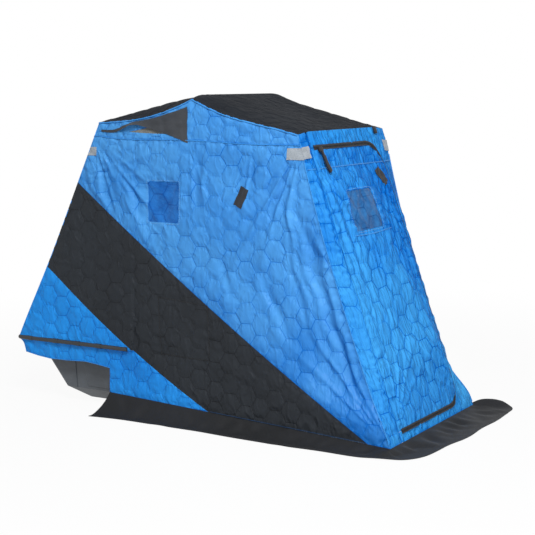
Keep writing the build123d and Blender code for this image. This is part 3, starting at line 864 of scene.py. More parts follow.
side_finishes = {"gable": blue_cloth, "main": blue_cloth, "band": black_cloth, "rear": rear_cloth}
print("side cuts:", list(side_cuts))

# %% [markdown]
# The left side is the same cuts on the other wall, with other wrinkles. It is cut a
# little more coarsely, because it faces away.

# %% Sew both sides
side_walls = {"right": (right_wall, 11, 0.008), "left": (left_wall, 211, 0.010)}
side_panels = {}
for hand, (wall, seed, step) in side_walls.items():
    for number, (part, cut) in enumerate(side_cuts.items()):
        folds = [(at(*corner), *shape) for corner, *shape in side_folds[part]]
        panel = Panel(wall, seed=seed + 10 * number, folds=folds, **cut)
        side_panels[hand, part] = panel
        sew(f"{hand}_{part}_cloth", panel, side_finishes[part], f"{hand}_{part}_panel",
            slot="black_cloth" if part == "band" else "blue_cloth", step=step)

# %% [markdown]
# ## The front wall and the door
# The front is one slope of blue cloth with a door flap zipped into it. The door is
# sewn along its right-hand edge and the zip runs along the top, the far side and the
# bottom. A cross seam runs below the eave, and above it the cloth is gathered. Points
# on the front are given as y and the distance up the slope.

# %% Seams of the front
hinge, latch = -0.346, 0.335
door_low, door_top = 0.049, front_slope - 0.077
zip_gap, hinge_gap = 0.0025, 0.00002


def corner_arc(centre, radius, start, count=10):
    """A quarter turn of a rounded corner."""
    turns = np.radians(np.linspace(start, start + 90, count))
    return np.stack([centre[0] + radius * np.cos(turns), centre[1] + radius * np.sin(turns)], 1)


def door_line(grow):
    """The door's zipped edge from the bottom of its hinge to the top, grown by a gap."""
    low = corner_arc((latch - 0.110, door_low + 0.110), 0.110 + grow, 270)
    top = corner_arc((latch - 0.150, door_top - 0.150), 0.150 + grow, 0)
    return np.concatenate([[(hinge, door_low - grow)], low, top, [(hinge, door_top + grow)]])


cross_seam = at_front(0, 1.268)[1]
cross_line = [(-0.46, cross_seam), (0.46, cross_seam)]
edge_low, edge_top, edge_y = half_floor, half_width(front_eave[1]), latch + zip_gap
zip_edge = door_line(zip_gap)
zip_edge[[0, -1], 1] = door_low - 0.0004, door_top + 0.0004
half_round = len(zip_edge) // 2
door_edge = door_line(-0.0005)
door_edge[door_line(0)[:, 0] <= hinge, 0] += hinge_gap
pane_loop = box_loop((-0.166, door_top - 0.419), (0.064, door_top - 0.221), 0.014)
pane_seam = [(-0.205, 0.972), (-0.04, 0.966), (0.14, 0.974)]
print("door flap", np.ptp(door_edge, axis=0).round(3), "its pane", np.ptp(pane_loop, axis=0).round(3))

# %% [markdown]
# Taut strips stand on both sides of the door, and short gathered pieces above and below
# it. The door hangs from its hinge, so it has the deepest folds, and its middle stands
# out in a slanted crest. Under the zip pull it is pressed flat.

# %% Sew the front and the door
front_wrinkles = dict(cell=(0.118, 0.100), crumple=0.0046, grain=(1.7, 0.38), gather=0.0042, hold=0.055)
gathered = dict(puff=0.001, gather=0.0045, crumple=0.005, grain=(1.5, 0.35))
strip_edge = hinge - hinge_gap
front_cuts = {
    "front_hinge_strip": dict(
        loop=[(-edge_low, 0), (strip_edge, 0), (strip_edge, front_slope), (-edge_top, front_slope)],
        seams=[cross_line], crease=hinge,
        folds=[((-0.43, 1.48), -75, 30, 3, 0.5, 0.004), ((-0.46, 0.03), 75, 30, 3, 0.4, 0.005)],
        pleats=[((-0.395, 1.30), (-0.405, 0.70), 0.010, -0.006),
                ((-0.370, 1.28), (-0.372, 0.86), 0.008, 0.005),
                ((-0.415, 0.74), (-0.425, 0.22), 0.011, 0.006),
                ((-0.375, 0.66), (-0.385, 0.20), 0.009, -0.006)]),
    "front_zip_strip": dict(
        loop=[(edge_y, 0), (edge_low, 0), (edge_top, front_slope), (edge_y, front_slope)],
        seams=[cross_line],
        folds=[((0.46, 0.03), 105, 30, 3, 0.4, 0.005), ((0.42, 1.47), -105, 30, 3, 0.5, 0.004)]),
    "front_header": dict(
        loop=[*zip_edge[half_round:], (hinge, front_slope), (edge_y, front_slope)], **gathered),
    "front_sill": dict(
        loop=[(hinge, 0), (edge_y, 0), *zip_edge[:half_round][::-1]], **gathered),
}
door_cut = dict(
    loop=door_edge, holes=[pane_loop], seams=[cross_line, pane_seam], crease=hinge,
    folds=[((-0.33, 1.40), -70, 26, 4, 0.6, 0.011), ((0.30, 1.30), -105, 28, 4, 0.7, 0.009),
           ((0.33, 0.10), 120, 30, 4, 0.6, 0.010), ((-0.33, 0.08), 60, 30, 4, 0.5, 0.009),
           ((-0.05, 1.30), -90, 40, 5, 0.35, 0.006), ((-0.16, 0.99), -120, 30, 2, 0.25, 0.006)],
    pleats=[((-0.325, 1.28), (-0.290, 0.72), 0.014, -0.007), ((-0.285, 1.26), (-0.245, 0.88), 0.014, 0.006),
            ((-0.235, 1.02), (-0.200, 0.56), 0.016, -0.006), ((0.120, 0.98), (0.210, 0.50), 0.014, -0.007),
            ((0.190, 1.12), (0.245, 0.62), 0.013, 0.006), ((0.265, 1.16), (0.285, 0.66), 0.012, -0.006),
            ((-0.110, 0.62), (-0.080, 0.22), 0.016, 0.006), ((0.060, 0.46), (0.100, 0.14), 0.014, -0.006)],
    crest=((0.25, 0.34), (0.065, 0.99), 0.034),
    press=[(-0.274, door_top - 0.060, (0.035, 0.080), 0.0015)])
front_panels = {}
for number, (part, cut) in enumerate(front_cuts.items()):
    front_panels[part] = Panel(front_wall, seed=411 + 10 * number, **{**front_wrinkles, **cut})
    finish = gathered_cloth if part in ("front_header", "front_sill") else front_cloth
    sew(part + "_cloth", front_panels[part], finish, part)
door_panel = Panel(front_wall, seed=471, **front_wrinkles, **door_cut)
sew("door_cloth", door_panel, front_cloth, "door_panel", "door")

# %% [markdown]
# ## Roof and rear wall
# The roof is two dark panels that meet over the ridge bar. It is stitched like the
# sides, but it lies flatter. The rear wall hangs from the rear eave down to the rail
# and tucks in below it.

# %% Sew the roof and the rear wall
wide = [half_width(z) for z in (front_eave[1], ridge[1], rear_eave[1], rail[1], drape[1])]


def span_cut(near, far, run):
    """A cut that spans the cabin, from one half width to another."""
    return [(-near, 0), (near, 0), (far, run), (-far, run)]


roof_quilt = dict(puff=0.003, slack=0.004, gather=0.0025)
front_loop = span_cut(wide[0], wide[1], front_roof_wall.lengths[-1])
rear_loop = span_cut(wide[1], wide[2], rear_roof_wall.lengths[-1])
rail_up, drape_up = rear_end_wall.lengths[1:]
end_loop = [(-wide[2], 0), (wide[2], 0), (wide[3], rail_up), (wide[4], drape_up),
            (-wide[4], drape_up), (-wide[3], rail_up)]
rail_seam = [(-wide[3], rail_up - 0.012), (wide[3], rail_up - 0.012)]
sew("front_roof_cloth", Panel(front_roof_wall, front_loop, 611, **roof_quilt), roof_cloth, "front_roof",
    slot="roof_cloth")
sew("rear_roof_cloth", Panel(rear_roof_wall, rear_loop, 631, **roof_quilt), roof_cloth, "rear_roof",
    slot="roof_cloth")
sew("rear_wall_cloth", Panel(rear_end_wall, end_loop, 651, seams=[rail_seam]), rear_cloth, "rear_wall",
    step=0.010)

# %% [markdown]
# ## Skirt
# A wide strip of single cloth is sewn to the foot seam and lies on the ice, so that
# snow can be banked on it. It is one long strip round three sides. Its rows run from
# the seam to the hem, and its folds grow towards the hem, where nothing holds it.

# %% Edges of the skirt
side_hem = [(1.640, -0.600), (1.609, -0.592), (1.457, -0.574), (1.212, -0.569), (0.976, -0.566),
            (0.730, -0.585), (0.513, -0.584), (0.303, -0.580), (0.101, -0.575), (-0.036, -0.551),
            (-0.106, -0.511), (-0.147, -0.434)]
front_hem = [(-0.156, -0.281), (-0.172, -0.137), (-0.181, 0.029), (-0.184, 0.220), (-0.182, 0.440),
             (-0.186, 0.540)]
far_hem = [(-0.180, 0.618), (-0.060, 0.606), (0.101, 0.580), (0.303, 0.572), (0.513, 0.584),
           (0.730, 0.578), (0.976, 0.566), (1.212, 0.574), (1.457, 0.569), (1.609, 0.590), (1.640, 0.600)]
side_backs = (1.600, 1.590, 1.457, 1.212, 0.976, 0.730, 0.513, 0.303, 0.090, 0.012)
side_seam = [(back, -half_floor) for back in side_backs] + [(0.0, -0.472), (0.0, -0.440)]
front_seam = [(0.0, y) for y in (-0.281, -0.137, 0.029, 0.220, 0.400, 0.455)]
far_backs = (0.0, 0.030, 0.120, 0.303, 0.513, 0.730, 0.976, 1.212, 1.457, 1.590, 1.600)
far_seam = [(back, half_floor) for back in far_backs]


def run_along(line):
    """How far along a line each of its points is."""
    return np.concatenate([[0], np.cumsum(np.linalg.norm(np.diff(line, axis=0), axis=1))])


def skirt_lines(step=0.012, rounds=20):
    """Matching points of the skirt's sewn edge and its hem, from the right rear to the left rear."""
    seam = np.array(side_seam + front_seam + far_seam)
    hem = np.array(side_hem + front_hem + far_hem)
    knots = run_along(hem)
    stops = np.linspace(0, knots[-1], int(knots[-1] / step))
    seam, hem = (np.stack([np.interp(stops, knots, edge[:, i]) for i in (0, 1)], 1) for edge in (seam, hem))
    for _ in range(rounds):
        hem[1:-1] = (hem[:-2] + hem[1:-1] * 2 + hem[2:]) / 4
    height = np.array([seam_height(max(back, 0)) for back in seam[:, 0]])
    leaned = np.sign(seam[:, 1]) * (height - foot) * draw_in
    sewn = np.stack([seam_x - seam[:, 0], seam[:, 1] - leaned * (seam[:, 0] > 0), height], 1)
    return sewn, np.stack([seam_x - hem[:, 0], hem[:, 1], np.zeros(len(hem))], 1)


sewn, hem = skirt_lines()
along = run_along((sewn + hem) / 2)
line = np.stack([along, np.zeros_like(along)], 1)
out = (hem - sewn) * [1, 1, 0]
out /= np.linalg.norm(out, axis=1)[:, None]
hem = hem + out * (0.004 * ripples(line, 0.30, 701))[:, None]
skirt_width = float(np.linalg.norm(hem - sewn, axis=1).mean())
print("skirt", round(float(along[-1]), 2), "m long and", round(skirt_width, 3), "m wide")

# %% [markdown]
# The skirt rests on the ice, so it never goes below a small height. At the far front
# corner, where the strip turns, the spare cloth stands up in one high fold.

# %% Lay the skirt
rest_height, skirt_thick = 0.0045, 0.003
fold_height, fold_back, fold_width, fold_from = 0.042, -0.09, 0.055, 0.5
far_fold = fold_height * bell(seam_x - hem[:, 0] - fold_back, fold_width) * (hem[:, 1] > fold_from)
rows = np.linspace(0, 1, 16)
face, back = [], []
for row in rows:
    spot = sewn + (hem - sewn) * row
    fall = sewn[:, 2] * (1 - row) ** 1.7
    long_waves = 0.006 * ripples(line + [0, row * 0.05], 0.16, 703)
    short_waves = 0.0055 * ripples(line + [0, row * 0.08], 0.07, 704)
    lift = (long_waves + short_waves) * math.sin(math.pi * min(1.0, row * 1.15)) * 0.8
    lift = lift + 0.003 * row * (1 + ripples(line, 0.22, 705))
    lift = lift + far_fold * math.sin(math.pi * row * 0.72)
    height = np.maximum(fall + lift, rest_height)
    face.append(np.stack([spot[:, 0], spot[:, 1], height], 1))
    back.append(np.stack([spot[:, 0], spot[:, 1], np.maximum(height - skirt_thick, 0.0005)], 1))
face, back = np.concatenate(face), np.concatenate(back)
triangles = grid_triangles(len(rows), len(sewn))[:, ::-1]
weave = np.stack([np.tile(along, len(rows)), np.repeat(rows, len(sewn))], 1)
skirt = closed_sheet("skirt_cloth", face, back, triangles, False, skirt_cloth, weave)
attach(skirt, "hut")
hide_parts("right_skirt", "front_skirt", "left_skirt")
print("skirt", len(triangles), "triangles on its face")

# %% [markdown]
# ## Windows and vents
# The windows are clear vinyl film, stitched in from behind. Their colour is painted
# shade: the dark inside of the cabin, tinted by its blue cloth, with the quilting of
# the far wall painted in. Each vent is grey net.


# %% Film and net finishes
def film_finish(name, pale, deep, clear):
    """Vinyl film, slightly waved, that lets a little of the inside show; its colour is the painted shade of
    the inside, with painted quilting.
    """
    fixed = {"Specular IOR Level": 0.12, "Alpha": clear, "Roughness": 0.22}
    finish, shader, place = new_finish(name, fixed)
    wave, fine = place.noise(14.0, 2.0), place.wrinkles(34.0, 0.12, 2.0)
    # Painted quilting of the far inner wall, as if seen through the film.
    through = stitch_distance(place).fade(0.0, 0.05, 0.55, 0.0)
    shade = (wave.fade(0.3, 0.7) * 0.6 + through + fine * 0.2).math("MINIMUM", 1.0)
    feed(shader, Base_Color=shade.mix(pale, deep), Normal=(wave + fine * 0.35).bump(0.4, 0.006))
    return finish


def grainy_finish(name, pale, deep, fixed, scale, blur, bump):
    """Net or tape, with a fine even grain."""
    finish, shader, place = new_finish(name, fixed)
    grain = place.noise(scale, 1.0)
    feed(shader, Base_Color=grain.fade(0.5 - blur, 0.5 + blur).mix(pale, deep), Normal=grain.bump(*bump))
    return finish


# The film colours are painted shade of the dark inside of the cabin.
window_film = film_finish("side window film", (38, 112, 190), (12, 76, 152), 0.95)
door_film = film_finish("door window film", (44, 108, 168), (12, 66, 120), 0.95)
net_finish = grainy_finish("vent net", (132, 132, 126), (84, 86, 84), {"Roughness": 0.8},
                           420.0, 0.10, (0.6, 0.002))
print("thin finishes:", window_film.name, door_film.name, net_finish.name)

# %% [markdown]
# Film and net are set halfway into the thickness of the cloth round them. A slight wave
# breaks up their reflections.

# %% Panes and nets
pane_inset, pane_thick = 0.0020, 0.0015


def pane(name, panel, loop, wave, finish, node, body="hut"):
    """A pane with a slight wave, set halfway into the thickness of its panel."""
    cut, triangles, area = cut_cloth(loop, [], 0.012)
    free = 1 - bell(to_line(cut, loop)[0], 0.02)
    face = panel.relief(cut)[1] + pane_inset + wave * ripples(cut, 0.09, 801) * free
    piece = lay(name, panel.wall, cut, triangles, face, face - pane_thick, finish, cut / 0.1)
    declare(piece, np.ptp(cut, axis=0), area, body, [node])


for hand in side_walls:
    pane(f"{hand}_window_film", side_panels[hand, "main"], side_window_loop, 0.0012, window_film,
         f"{hand}_side_window")
    pane(f"{hand}_vent_net", side_panels[hand, "gable"], vent_hole, 0.0015, net_finish,
         f"{hand}_vent_mesh")
pane("door_window_film", door_panel, pane_loop, 0.0020, door_film,
     "door_window", "door")

# %% [markdown]
# Over each vent hangs a flap that is sewn at its tip and along its upper edge. Its free
# lower edge is lifted off the net in a wave. The flap is a grid between two edges, given
# where they lie on the hanging cloth.

# %% Vent flaps
flap_upper = [(1.640, 1.442), (1.560, 1.441), (1.500, 1.460), (1.440, 1.482), (1.400, 1.488),
              (1.250, 1.518), (1.112, 1.556)]
flap_lower = [(1.640, 1.433), (1.560, 1.427), (1.500, 1.445), (1.440, 1.466), (1.400, 1.469),
              (1.250, 1.428), (1.112, 1.382)]
flap_size, flap_thick = (0.530, 0.176), 0.0025


def hung_back(back, height):
    """The place on the cut that sags to a given place on the side."""
    start = height
    for _ in range(8):
        start = height + float(roof_hang(np.array(back)) * bell(roof_height(back) - start, 0.11))
    return at(back, start)


def flap_edge(corners, columns):
    """A smoothed edge of the flap on the cut."""
    corners = np.array([hung_back(*corner) for corner in corners])
    knots = np.linspace(0, 1, len(corners))
    edge = np.stack([np.interp(columns, knots, corners[:, i]) for i in (0, 1)], 1)
    for _ in range(4):
        edge[1:-1] = (edge[:-2] + edge[1:-1] + edge[2:]) / 3
    return edge


def vent_flap(hand, panel):
    """A flap whose free lower edge is lifted off the net in a wave."""
    columns, rows = np.linspace(0, 1, 70), np.linspace(0, 1, 18)
    top, low = flap_edge(flap_upper, columns), flap_edge(flap_lower, columns)
    cut = np.concatenate([top + (low - top) * row for row in rows])
    share, span = np.repeat(rows, len(columns)), np.tile(columns, len(rows))
    rise = 0.026 * share ** 1.3 * bell(span - 0.55, 0.16) + 0.010 * bell(span - 0.38, 0.14)
    face = panel.relief(cut)[0] + 0.004 + rise + 0.0012 * ripples(cut, 0.05, 811)
    triangles = grid_triangles(len(rows), len(columns))
    areas = flat_areas(cut, triangles)
    triangles = triangles[:, ::-1] if areas[0] < 0 else triangles
    name, node, host = f"{hand}_vent_flap_cloth", f"{hand}_vent_flap", f"{hand}_gable_cloth"
    piece = lay(name, panel.wall, cut, triangles, face, face - flap_thick, flap_cloth, cut)
    area = max(float(np.abs(areas).sum()), 0.3 * flap_size[0] * flap_size[1])
    declare(piece, flap_size, area, "hut", [node])


for hand in side_walls:
    vent_flap(hand, side_panels[hand, "gable"])

# %% [markdown]
# ## Trim that lies on the cloth
# Grey reflective tapes wrap the corners below the eave, and black patches cover the
# places where ice anchors are tied inside. All of these ask the panel below them for
# its height, so that they follow its wrinkles.

# %% Patches and reflective tapes
trim_lift, trim_thick = 0.003, 0.002
patch_cloth = woven_cloth("patch cloth", (42, 44, 48), (32, 33, 37), 0.55)
tape_finish = grainy_finish("reflective tape", (150, 157, 164), (132, 140, 148),
                            {"Specular IOR Level": 0.4, "Roughness": 0.4}, 260.0, 0.15, (0.2, 0.001))


def on_cloth(name, panel, loop, finish, host, body="hut"):
    """A flat piece sewn onto a panel."""
    cut, triangles, area = cut_cloth(np.asarray(loop, float), [], 0.008)
    face = panel.relief(cut)[0] + trim_lift
    piece = lay(name, panel.wall, cut, triangles, face, face - trim_thick, finish, cut / 0.1)
    declare(piece, np.ptp(cut, axis=0), area, body, [])


side_trim = {
    "corner_tape": (tape_finish, [(front_back(1.367) - 0.002, 1.367), (0.551, 1.367), (0.555, 1.313),
                                  (front_back(1.313) - 0.002, 1.313)]),
    "rear_tape": (tape_finish, [(1.672, 1.355), (rear_back(1.355) - 0.004, 1.355),
                                (rear_back(1.312) - 0.004, 1.312), (1.676, 1.312)]),
    "anchor_patch": (patch_cloth, [(0.807, 1.185), (0.763, 1.166), (0.799, 1.077), (0.850, 1.097)]),
}
front_trim = [(0.375, 1.370), (half_width(1.37) + 0.002, 1.370), (half_width(1.316) + 0.002, 1.316),
              (0.372, 1.318)]
door_patch = [(0.243, 1.249), (0.301, 1.173), (0.249, 1.147), (0.195, 1.227)]
for hand in side_walls:
    for part, (finish, corners) in side_trim.items():
        loop = [at(*corner) for corner in corners]
        on_cloth(f"{hand}_{part}", side_panels[hand, "main"], loop, finish, f"{hand}_main_cloth")
for side, part in ((-1, "front_hinge_strip"), (1, "front_zip_strip")):
    loop = [at_front(side * y, height) for y, height in front_trim]
    on_cloth(part + "_tape", front_panels[part], loop, tape_finish, part + "_cloth")
loop = [at_front(*corner) for corner in door_patch]
on_cloth("door_patch", door_panel, loop, patch_cloth, "door_cloth", "door")

# %% [markdown]
# The zip has a black tape on each side of its teeth. The tapes are ribbons beside the
# zip's line, one on the wall and one on the door. Along the far side the zip sinks
# behind the edge of the door, so the tapes are narrower and lower there.

# %% Zip tapes
zip_tape = woven_cloth("zip tape", (30, 31, 34), (20, 21, 24), 0.55)
tape_gap, tape_thick = 0.0004, 0.0015
zip_line = spaced(door_line(zip_gap / 2), 0.008, closed=False)[2:-2]
far_share = np.clip((zip_line[:, 0] - 0.270) / 0.055, 0, 1)
zip_width = 0.0112 - 0.0090 * far_share
zip_lift = 0.0042 - 0.0060 * far_share


def right_of(line):
    """Directions to the right of a flat line, at each of its points."""
    way = np.gradient(line, axis=0)
    way /= np.linalg.norm(way, axis=1)[:, None]
    return np.stack([way[:, 1], -way[:, 0]], 1)


def ribbon(name, panel, line, inner, outer, lift, finish, body):
    """A strip beside a line on a panel, from one distance to another on the line's right."""
    rows, right = np.linspace(0, 1, 5), right_of(line)
    cut = np.concatenate([line + right * (inner + (outer - inner) * row)[:, None] for row in rows])
    triangles = grid_triangles(len(rows), len(line))
    area = flat_areas(cut, triangles).sum()
    triangles = triangles if area > 0 else triangles[:, ::-1]
    face = np.tile(lift, len(rows))
    piece = lay(name, panel.wall, cut, triangles, face, face - tape_thick, finish, cut / 0.1)
    size = run_along(line)[-1], np.max(outer - inner)
    declare(piece, size, float(abs(area)), body, [])


close = np.full(len(zip_line), tape_gap)
ribbon("zip_tape_hut", front_panels["front_header"], zip_line, close, zip_width, zip_lift, zip_tape,
       "hut")
ribbon("zip_tape_door", door_panel, zip_line, -zip_width, -close, zip_lift, zip_tape,
       "door")

# %% [markdown]
# ## Piping, seams and other things that follow a line
# Piping, seam cords, zip teeth, rail rings and stitches all repeat along a line. Geometry
# Nodes does both jobs: one tree sweeps a round cord along lines, the other sets small
# blocks along them at even steps. Each result is turned into a plain mesh.


# %% Two trees: a cord and a row of blocks
def line_tree(name, inputs):
    """A node tree for lines: the tree, its input keys, its inputs as wires, its lines as a curve."""
    tree = bpy.data.node_groups.new(name, "GeometryNodeTree")
    tree.interface.new_socket("Geometry", in_out="INPUT", socket_type="NodeSocketGeometry")
    keys = {}
    for label, kind in inputs.items():
        socket = tree.interface.new_socket(label, in_out="INPUT", socket_type="NodeSocket" + kind)
        keys[label] = socket.identifier
    tree.interface.new_socket("Geometry", in_out="OUTPUT", socket_type="NodeSocketGeometry")
    group = tree.nodes.new("NodeGroupInput")
    given = {label: Wire(group.outputs[label]) for label in ["Geometry", *inputs]}
    lines = given["Geometry"]
    return tree, keys, given, lines.node("GeometryNodeMeshToCurve", {}, {"Mesh": lines})


def close_tree(tree, shape, finish):
    """End a tree with real geometry in one finish."""
    real = shape.node("GeometryNodeRealizeInstances", {}, {"Geometry": shape})
    done = real.node("GeometryNodeSetMaterial", {}, {"Geometry": real, "Material": finish})
    tree.links.new(done.socket, tree.nodes.new("NodeGroupOutput").inputs["Geometry"])


cord_tree, cord_keys, given, curve = line_tree("cord", {"Radius": "Float", "Finish": "Material"})
ring = {"Resolution": 8, "Radius": given["Radius"]}
ring = curve.node("GeometryNodeCurvePrimitiveCircle", {}, ring)
swept = {"Curve": curve, "Profile Curve": ring, "Fill Caps": True}
close_tree(cord_tree, curve.node("GeometryNodeCurveToMesh", {}, swept), given["Finish"])

row_inputs = {"Spacing": "Float", "Size": "Vector", "Up": "Vector", "Finish": "Material"}
row_tree, row_keys, given, curve = line_tree("row of blocks", row_inputs)
even = {"Curve": curve, "Length": given["Spacing"]}
even = curve.node("GeometryNodeResampleCurve", {"mode": "LENGTH"}, even)
turn_to, tangent = "FunctionNodeAlignRotationToVector", curve.node("GeometryNodeInputTangent")
facing = curve.node(turn_to, {"axis": "X"}, {"Vector": tangent})
facing = curve.node(turn_to, {"axis": "Z", "pivot_axis": "X"}, {"Rotation": facing, "Vector": given["Up"]})
block = curve.node("GeometryNodeMeshCube", {}, {"Size": given["Size"]})
blocks = {"Points": even, "Instance": block, "Rotation": facing}
close_tree(row_tree, curve.node("GeometryNodeInstanceOnPoints", {}, blocks), given["Finish"])


def along_lines(name, lines, tree, keys, values, body, smooth):
    """Run a tree along lines and keep the result as a plain mesh on a body."""
    points, edges = [], []
    for line in lines:
        edges += [(len(points) + i, len(points) + i + 1) for i in range(len(line) - 1)]
        points += [tuple(map(float, p)) for p in line]
    path = bpy.data.meshes.new(name + " path")
    path.from_pydata(points, edges, [])
    holder = stand(name + " path", path)
    modifier = holder.modifiers.new("along", "NODES")
    modifier.node_group = tree
    for label, value in values.items():
        modifier[keys[label]] = value
    graph = bpy.context.evaluated_depsgraph_get()
    mesh = bpy.data.meshes.new_from_object(holder.evaluated_get(graph))
    mesh.name = name
    bpy.data.objects.remove(holder)
    mesh.polygons.foreach_set("use_smooth", np.full(len(mesh.polygons), smooth))
    piece = stand(name, mesh)
    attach(piece, body)
    print(name, len(mesh.polygons), "faces along", len(lines), "lines")


def cord(name, lines, radius, finish, body="hut"):
    """Sweep a round cord along lines."""
    values = {"Radius": radius, "Finish": finish}
    along_lines(name, lines, cord_tree, cord_keys, values, body, True)


def block_row(name, line, spacing, size, up, finish, body):
    """Set small blocks along a line."""
    values = {"Spacing": spacing, "Size": size, "Up": tuple(map(float, up)), "Finish": finish}
    along_lines(name, [line], row_tree, row_keys, values, body, False)


def on_wall(panel, line, lift, step=0.010):
    """A line on a panel's cloth as places in the frame."""
    line = spaced(line, step, closed=False)
    return panel.wall.place(line, panel.relief(line)[0] + lift)


# %% [markdown]
# Blue piping edges the roof, and thinner cords mark the corners, the seams and the hem
# of the drape. A dark thread runs along the foot of the band, and black tape edges its
# pocket. Cords on the door ride with the door.

# %% Piping and seam cords
piping_blue = woven_cloth("blue piping", (56, 138, 206), (36, 120, 194), 0.45)
foot_thread = woven_cloth("foot seam thread", (30, 62, 98), (22, 48, 80), 0.6)
roof_edge = [at(back, height - 0.005) for back, height in (front_eave, ridge, rear_eave)]
corner_edge = [at(front_back(height), height) for height in (0.045, 1.300)]
foot_line = [at(back, seam_height(back) + 0.003) for back in (0.125, 0.980)]
for hand in side_walls:
    gable, band, rear = (side_panels[hand, part] for part in ("gable", "band", "rear"))
    for part, edge, radius in (("piping", roof_edge, 0.0030), ("corner_cord", corner_edge, 0.0022)):
        line = spaced(edge, 0.012, closed=False)
        cord(f"{hand}_{part}", [gable.wall.place(line, np.full(len(line), 0.003))], radius, piping_blue)
    cord(f"{hand}_foot_cord", [on_wall(band, foot_line, 0.002)], 0.0016, foot_thread)
    cord(f"{hand}_pocket_cord", [on_wall(band, pocket, 0.0004)], 0.0018, zip_tape)
    hems = [on_wall(gable, [gable_front, gable_rear], 0.002), on_wall(rear, drape_edge, 0.001)]
    cord(f"{hand}_seam_cord", hems, 0.0022, piping_blue)
strip_ends = {"front_hinge_strip": (-0.428, hinge - 0.016), "front_zip_strip": (edge_y, 0.428)}
strip_seams = [on_wall(front_panels[part], [(y, cross_seam) for y in ends], 0.001)
               for part, ends in strip_ends.items()]
cord("front_seam_cord", strip_seams, 0.0026, piping_blue)
door_seam = [(hinge + 0.016, cross_seam), (0.315, cross_seam)]
door_seams = [on_wall(door_panel, line, 0.001) for line in (door_seam, pane_seam)]
cord("door_seam_cord", door_seams, 0.0026, piping_blue, body="door")

# %% [markdown]
# The zip's teeth are moulded blocks, one row on each tape, and the stitches round the
# windows are pale thread. Both are rows of blocks that stand up from the wall.

# %% Zip teeth and stitches
front_out = (math.cos(front_lean), 0.0, math.sin(front_lean))
tooth_size, tooth_shift, tooth_lift = (0.0030, 0.0038, 0.0024), 0.0024, 0.0008
for body, shift in (("hut", tooth_shift), ("door", -tooth_shift)):
    line = front_wall.place(zip_line + right_of(zip_line) * shift, zip_lift + tooth_lift)
    block_row(f"zip_teeth_{body}", line, 0.006, tooth_size, front_out, zip_tape, body)
thread = woven_cloth("thread", (120, 168, 214), (96, 150, 204), 0.6)


def stitches(name, panel, loop, up, body="hut", border=0.007):
    """A row of stitches a little outside a window."""
    middle = (loop.min(0) + loop.max(0)) / 2
    grown = middle + (loop - middle) * (1 + 2 * border / np.ptp(loop, axis=0))
    line = on_wall(panel, np.concatenate([grown, grown[:1]]), 0.0006, 0.004)
    block_row(name, line, 0.009, (0.0060, 0.0014, 0.0012), up, thread, body)


for hand, (wall, *_) in side_walls.items():
    stitches(f"{hand}_window_stitches", side_panels[hand, "main"], side_window_loop, wall.out)
stitches("door_window_stitches", door_panel, pane_loop, front_out, "door")

# %% [markdown]
# The zip's slider, its long pull and the tab at the eave are small moulded blocks. Each
# is a box with rounded edges, set on the front wall and turned a little, as it hangs.


# %% Slider, pull and eave tab
def blocks_on_front(name, blocks, finish, body):
    """Rounded blocks on the front wall, each with its place, lift, size, turn and edge radius."""
    shape = bmesh.new()
    lean, rise = math.sin(front_lean), math.cos(front_lean)
    axes = Matrix(((0, -lean, rise), (1, 0, 0), (0, rise, lean))).to_4x4()
    for spot, lift, size, turn, edge in blocks:
        made = bmesh.ops.create_cube(shape, size=1.0)["verts"]
        where = Matrix.Translation(front_wall.place(np.array([spot]), np.array([lift]))[0])
        turned = Matrix.Rotation(math.radians(turn), 4, "Z") @ Matrix.Diagonal((*size, 1))
        bmesh.ops.transform(shape, matrix=where @ axes @ turned, verts=made)
        edges = list({e for v in made for e in v.link_edges})
        bmesh.ops.bevel(shape, geom=edges, offset=edge, segments=3, profile=0.5, affect="EDGES")
    mesh = bpy.data.meshes.new(name)
    shape.to_mesh(mesh)
    shape.free()
    mesh.polygons.foreach_set("use_smooth", np.ones(len(mesh.polygons), bool))
    mesh.materials.append(finish)
    piece = stand(name, mesh)
    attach(piece, body)
    print(name, len(mesh.polygons), "faces")
    return piece


slider_y, slider_up = hinge + 0.064, door_top - 0.010
puller = blocks_on_front("zip_slider_and_pull", [
    ((slider_y, slider_up), 0.009, (0.034, 0.024, 0.013), 0, 0.003),
    ((slider_y + 0.003, slider_up - 0.022), 0.014, (0.016, 0.036, 0.007), 6, 0.002),
    ((slider_y + 0.009, slider_up - 0.054), 0.015, (0.022, 0.054, 0.009), 10, 0.003),
    ((slider_y + 0.019, slider_up - 0.092), 0.015, (0.025, 0.040, 0.012), 20, 0.005)], zip_tape, "door")
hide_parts("zip_slider")
tab = ((0.322, front_slope - 0.016), 0.006, (0.026, 0.038, 0.012), 0, 0.004)
blocks_on_front("eave_tab", [tab], zip_tape, "hut")

# %% [markdown]
# ## Rigid pieces
# The sled, the rail, the bows and the plates keep their solids and get better finishes.
# The sled is rotomoulded polyethylene: dull, faintly pebbled, and paler where it has
# been scuffed. Short rings on the rail show where the drape is clamped.


# %% Finishes of the rigid pieces
def solid_finish(name, pale, deep, rough, pebble, metal=0.0, scale=30.0):
    """Moulded plastic, paint or bare tube with a fine uneven surface."""
    finish, shader, place = new_finish(name, {"Metallic": metal})
    broad, fine = place.noise(scale * 0.2, 4.0, 0.6), place.noise(scale * 12, 2.0)
    feed(shader, Base_Color=broad.fade(0.3, 0.7).mix(pale, deep),
         Roughness=fine * 0.2 + (rough - 0.1), Normal=fine.bump(pebble, 0.001))
    return finish


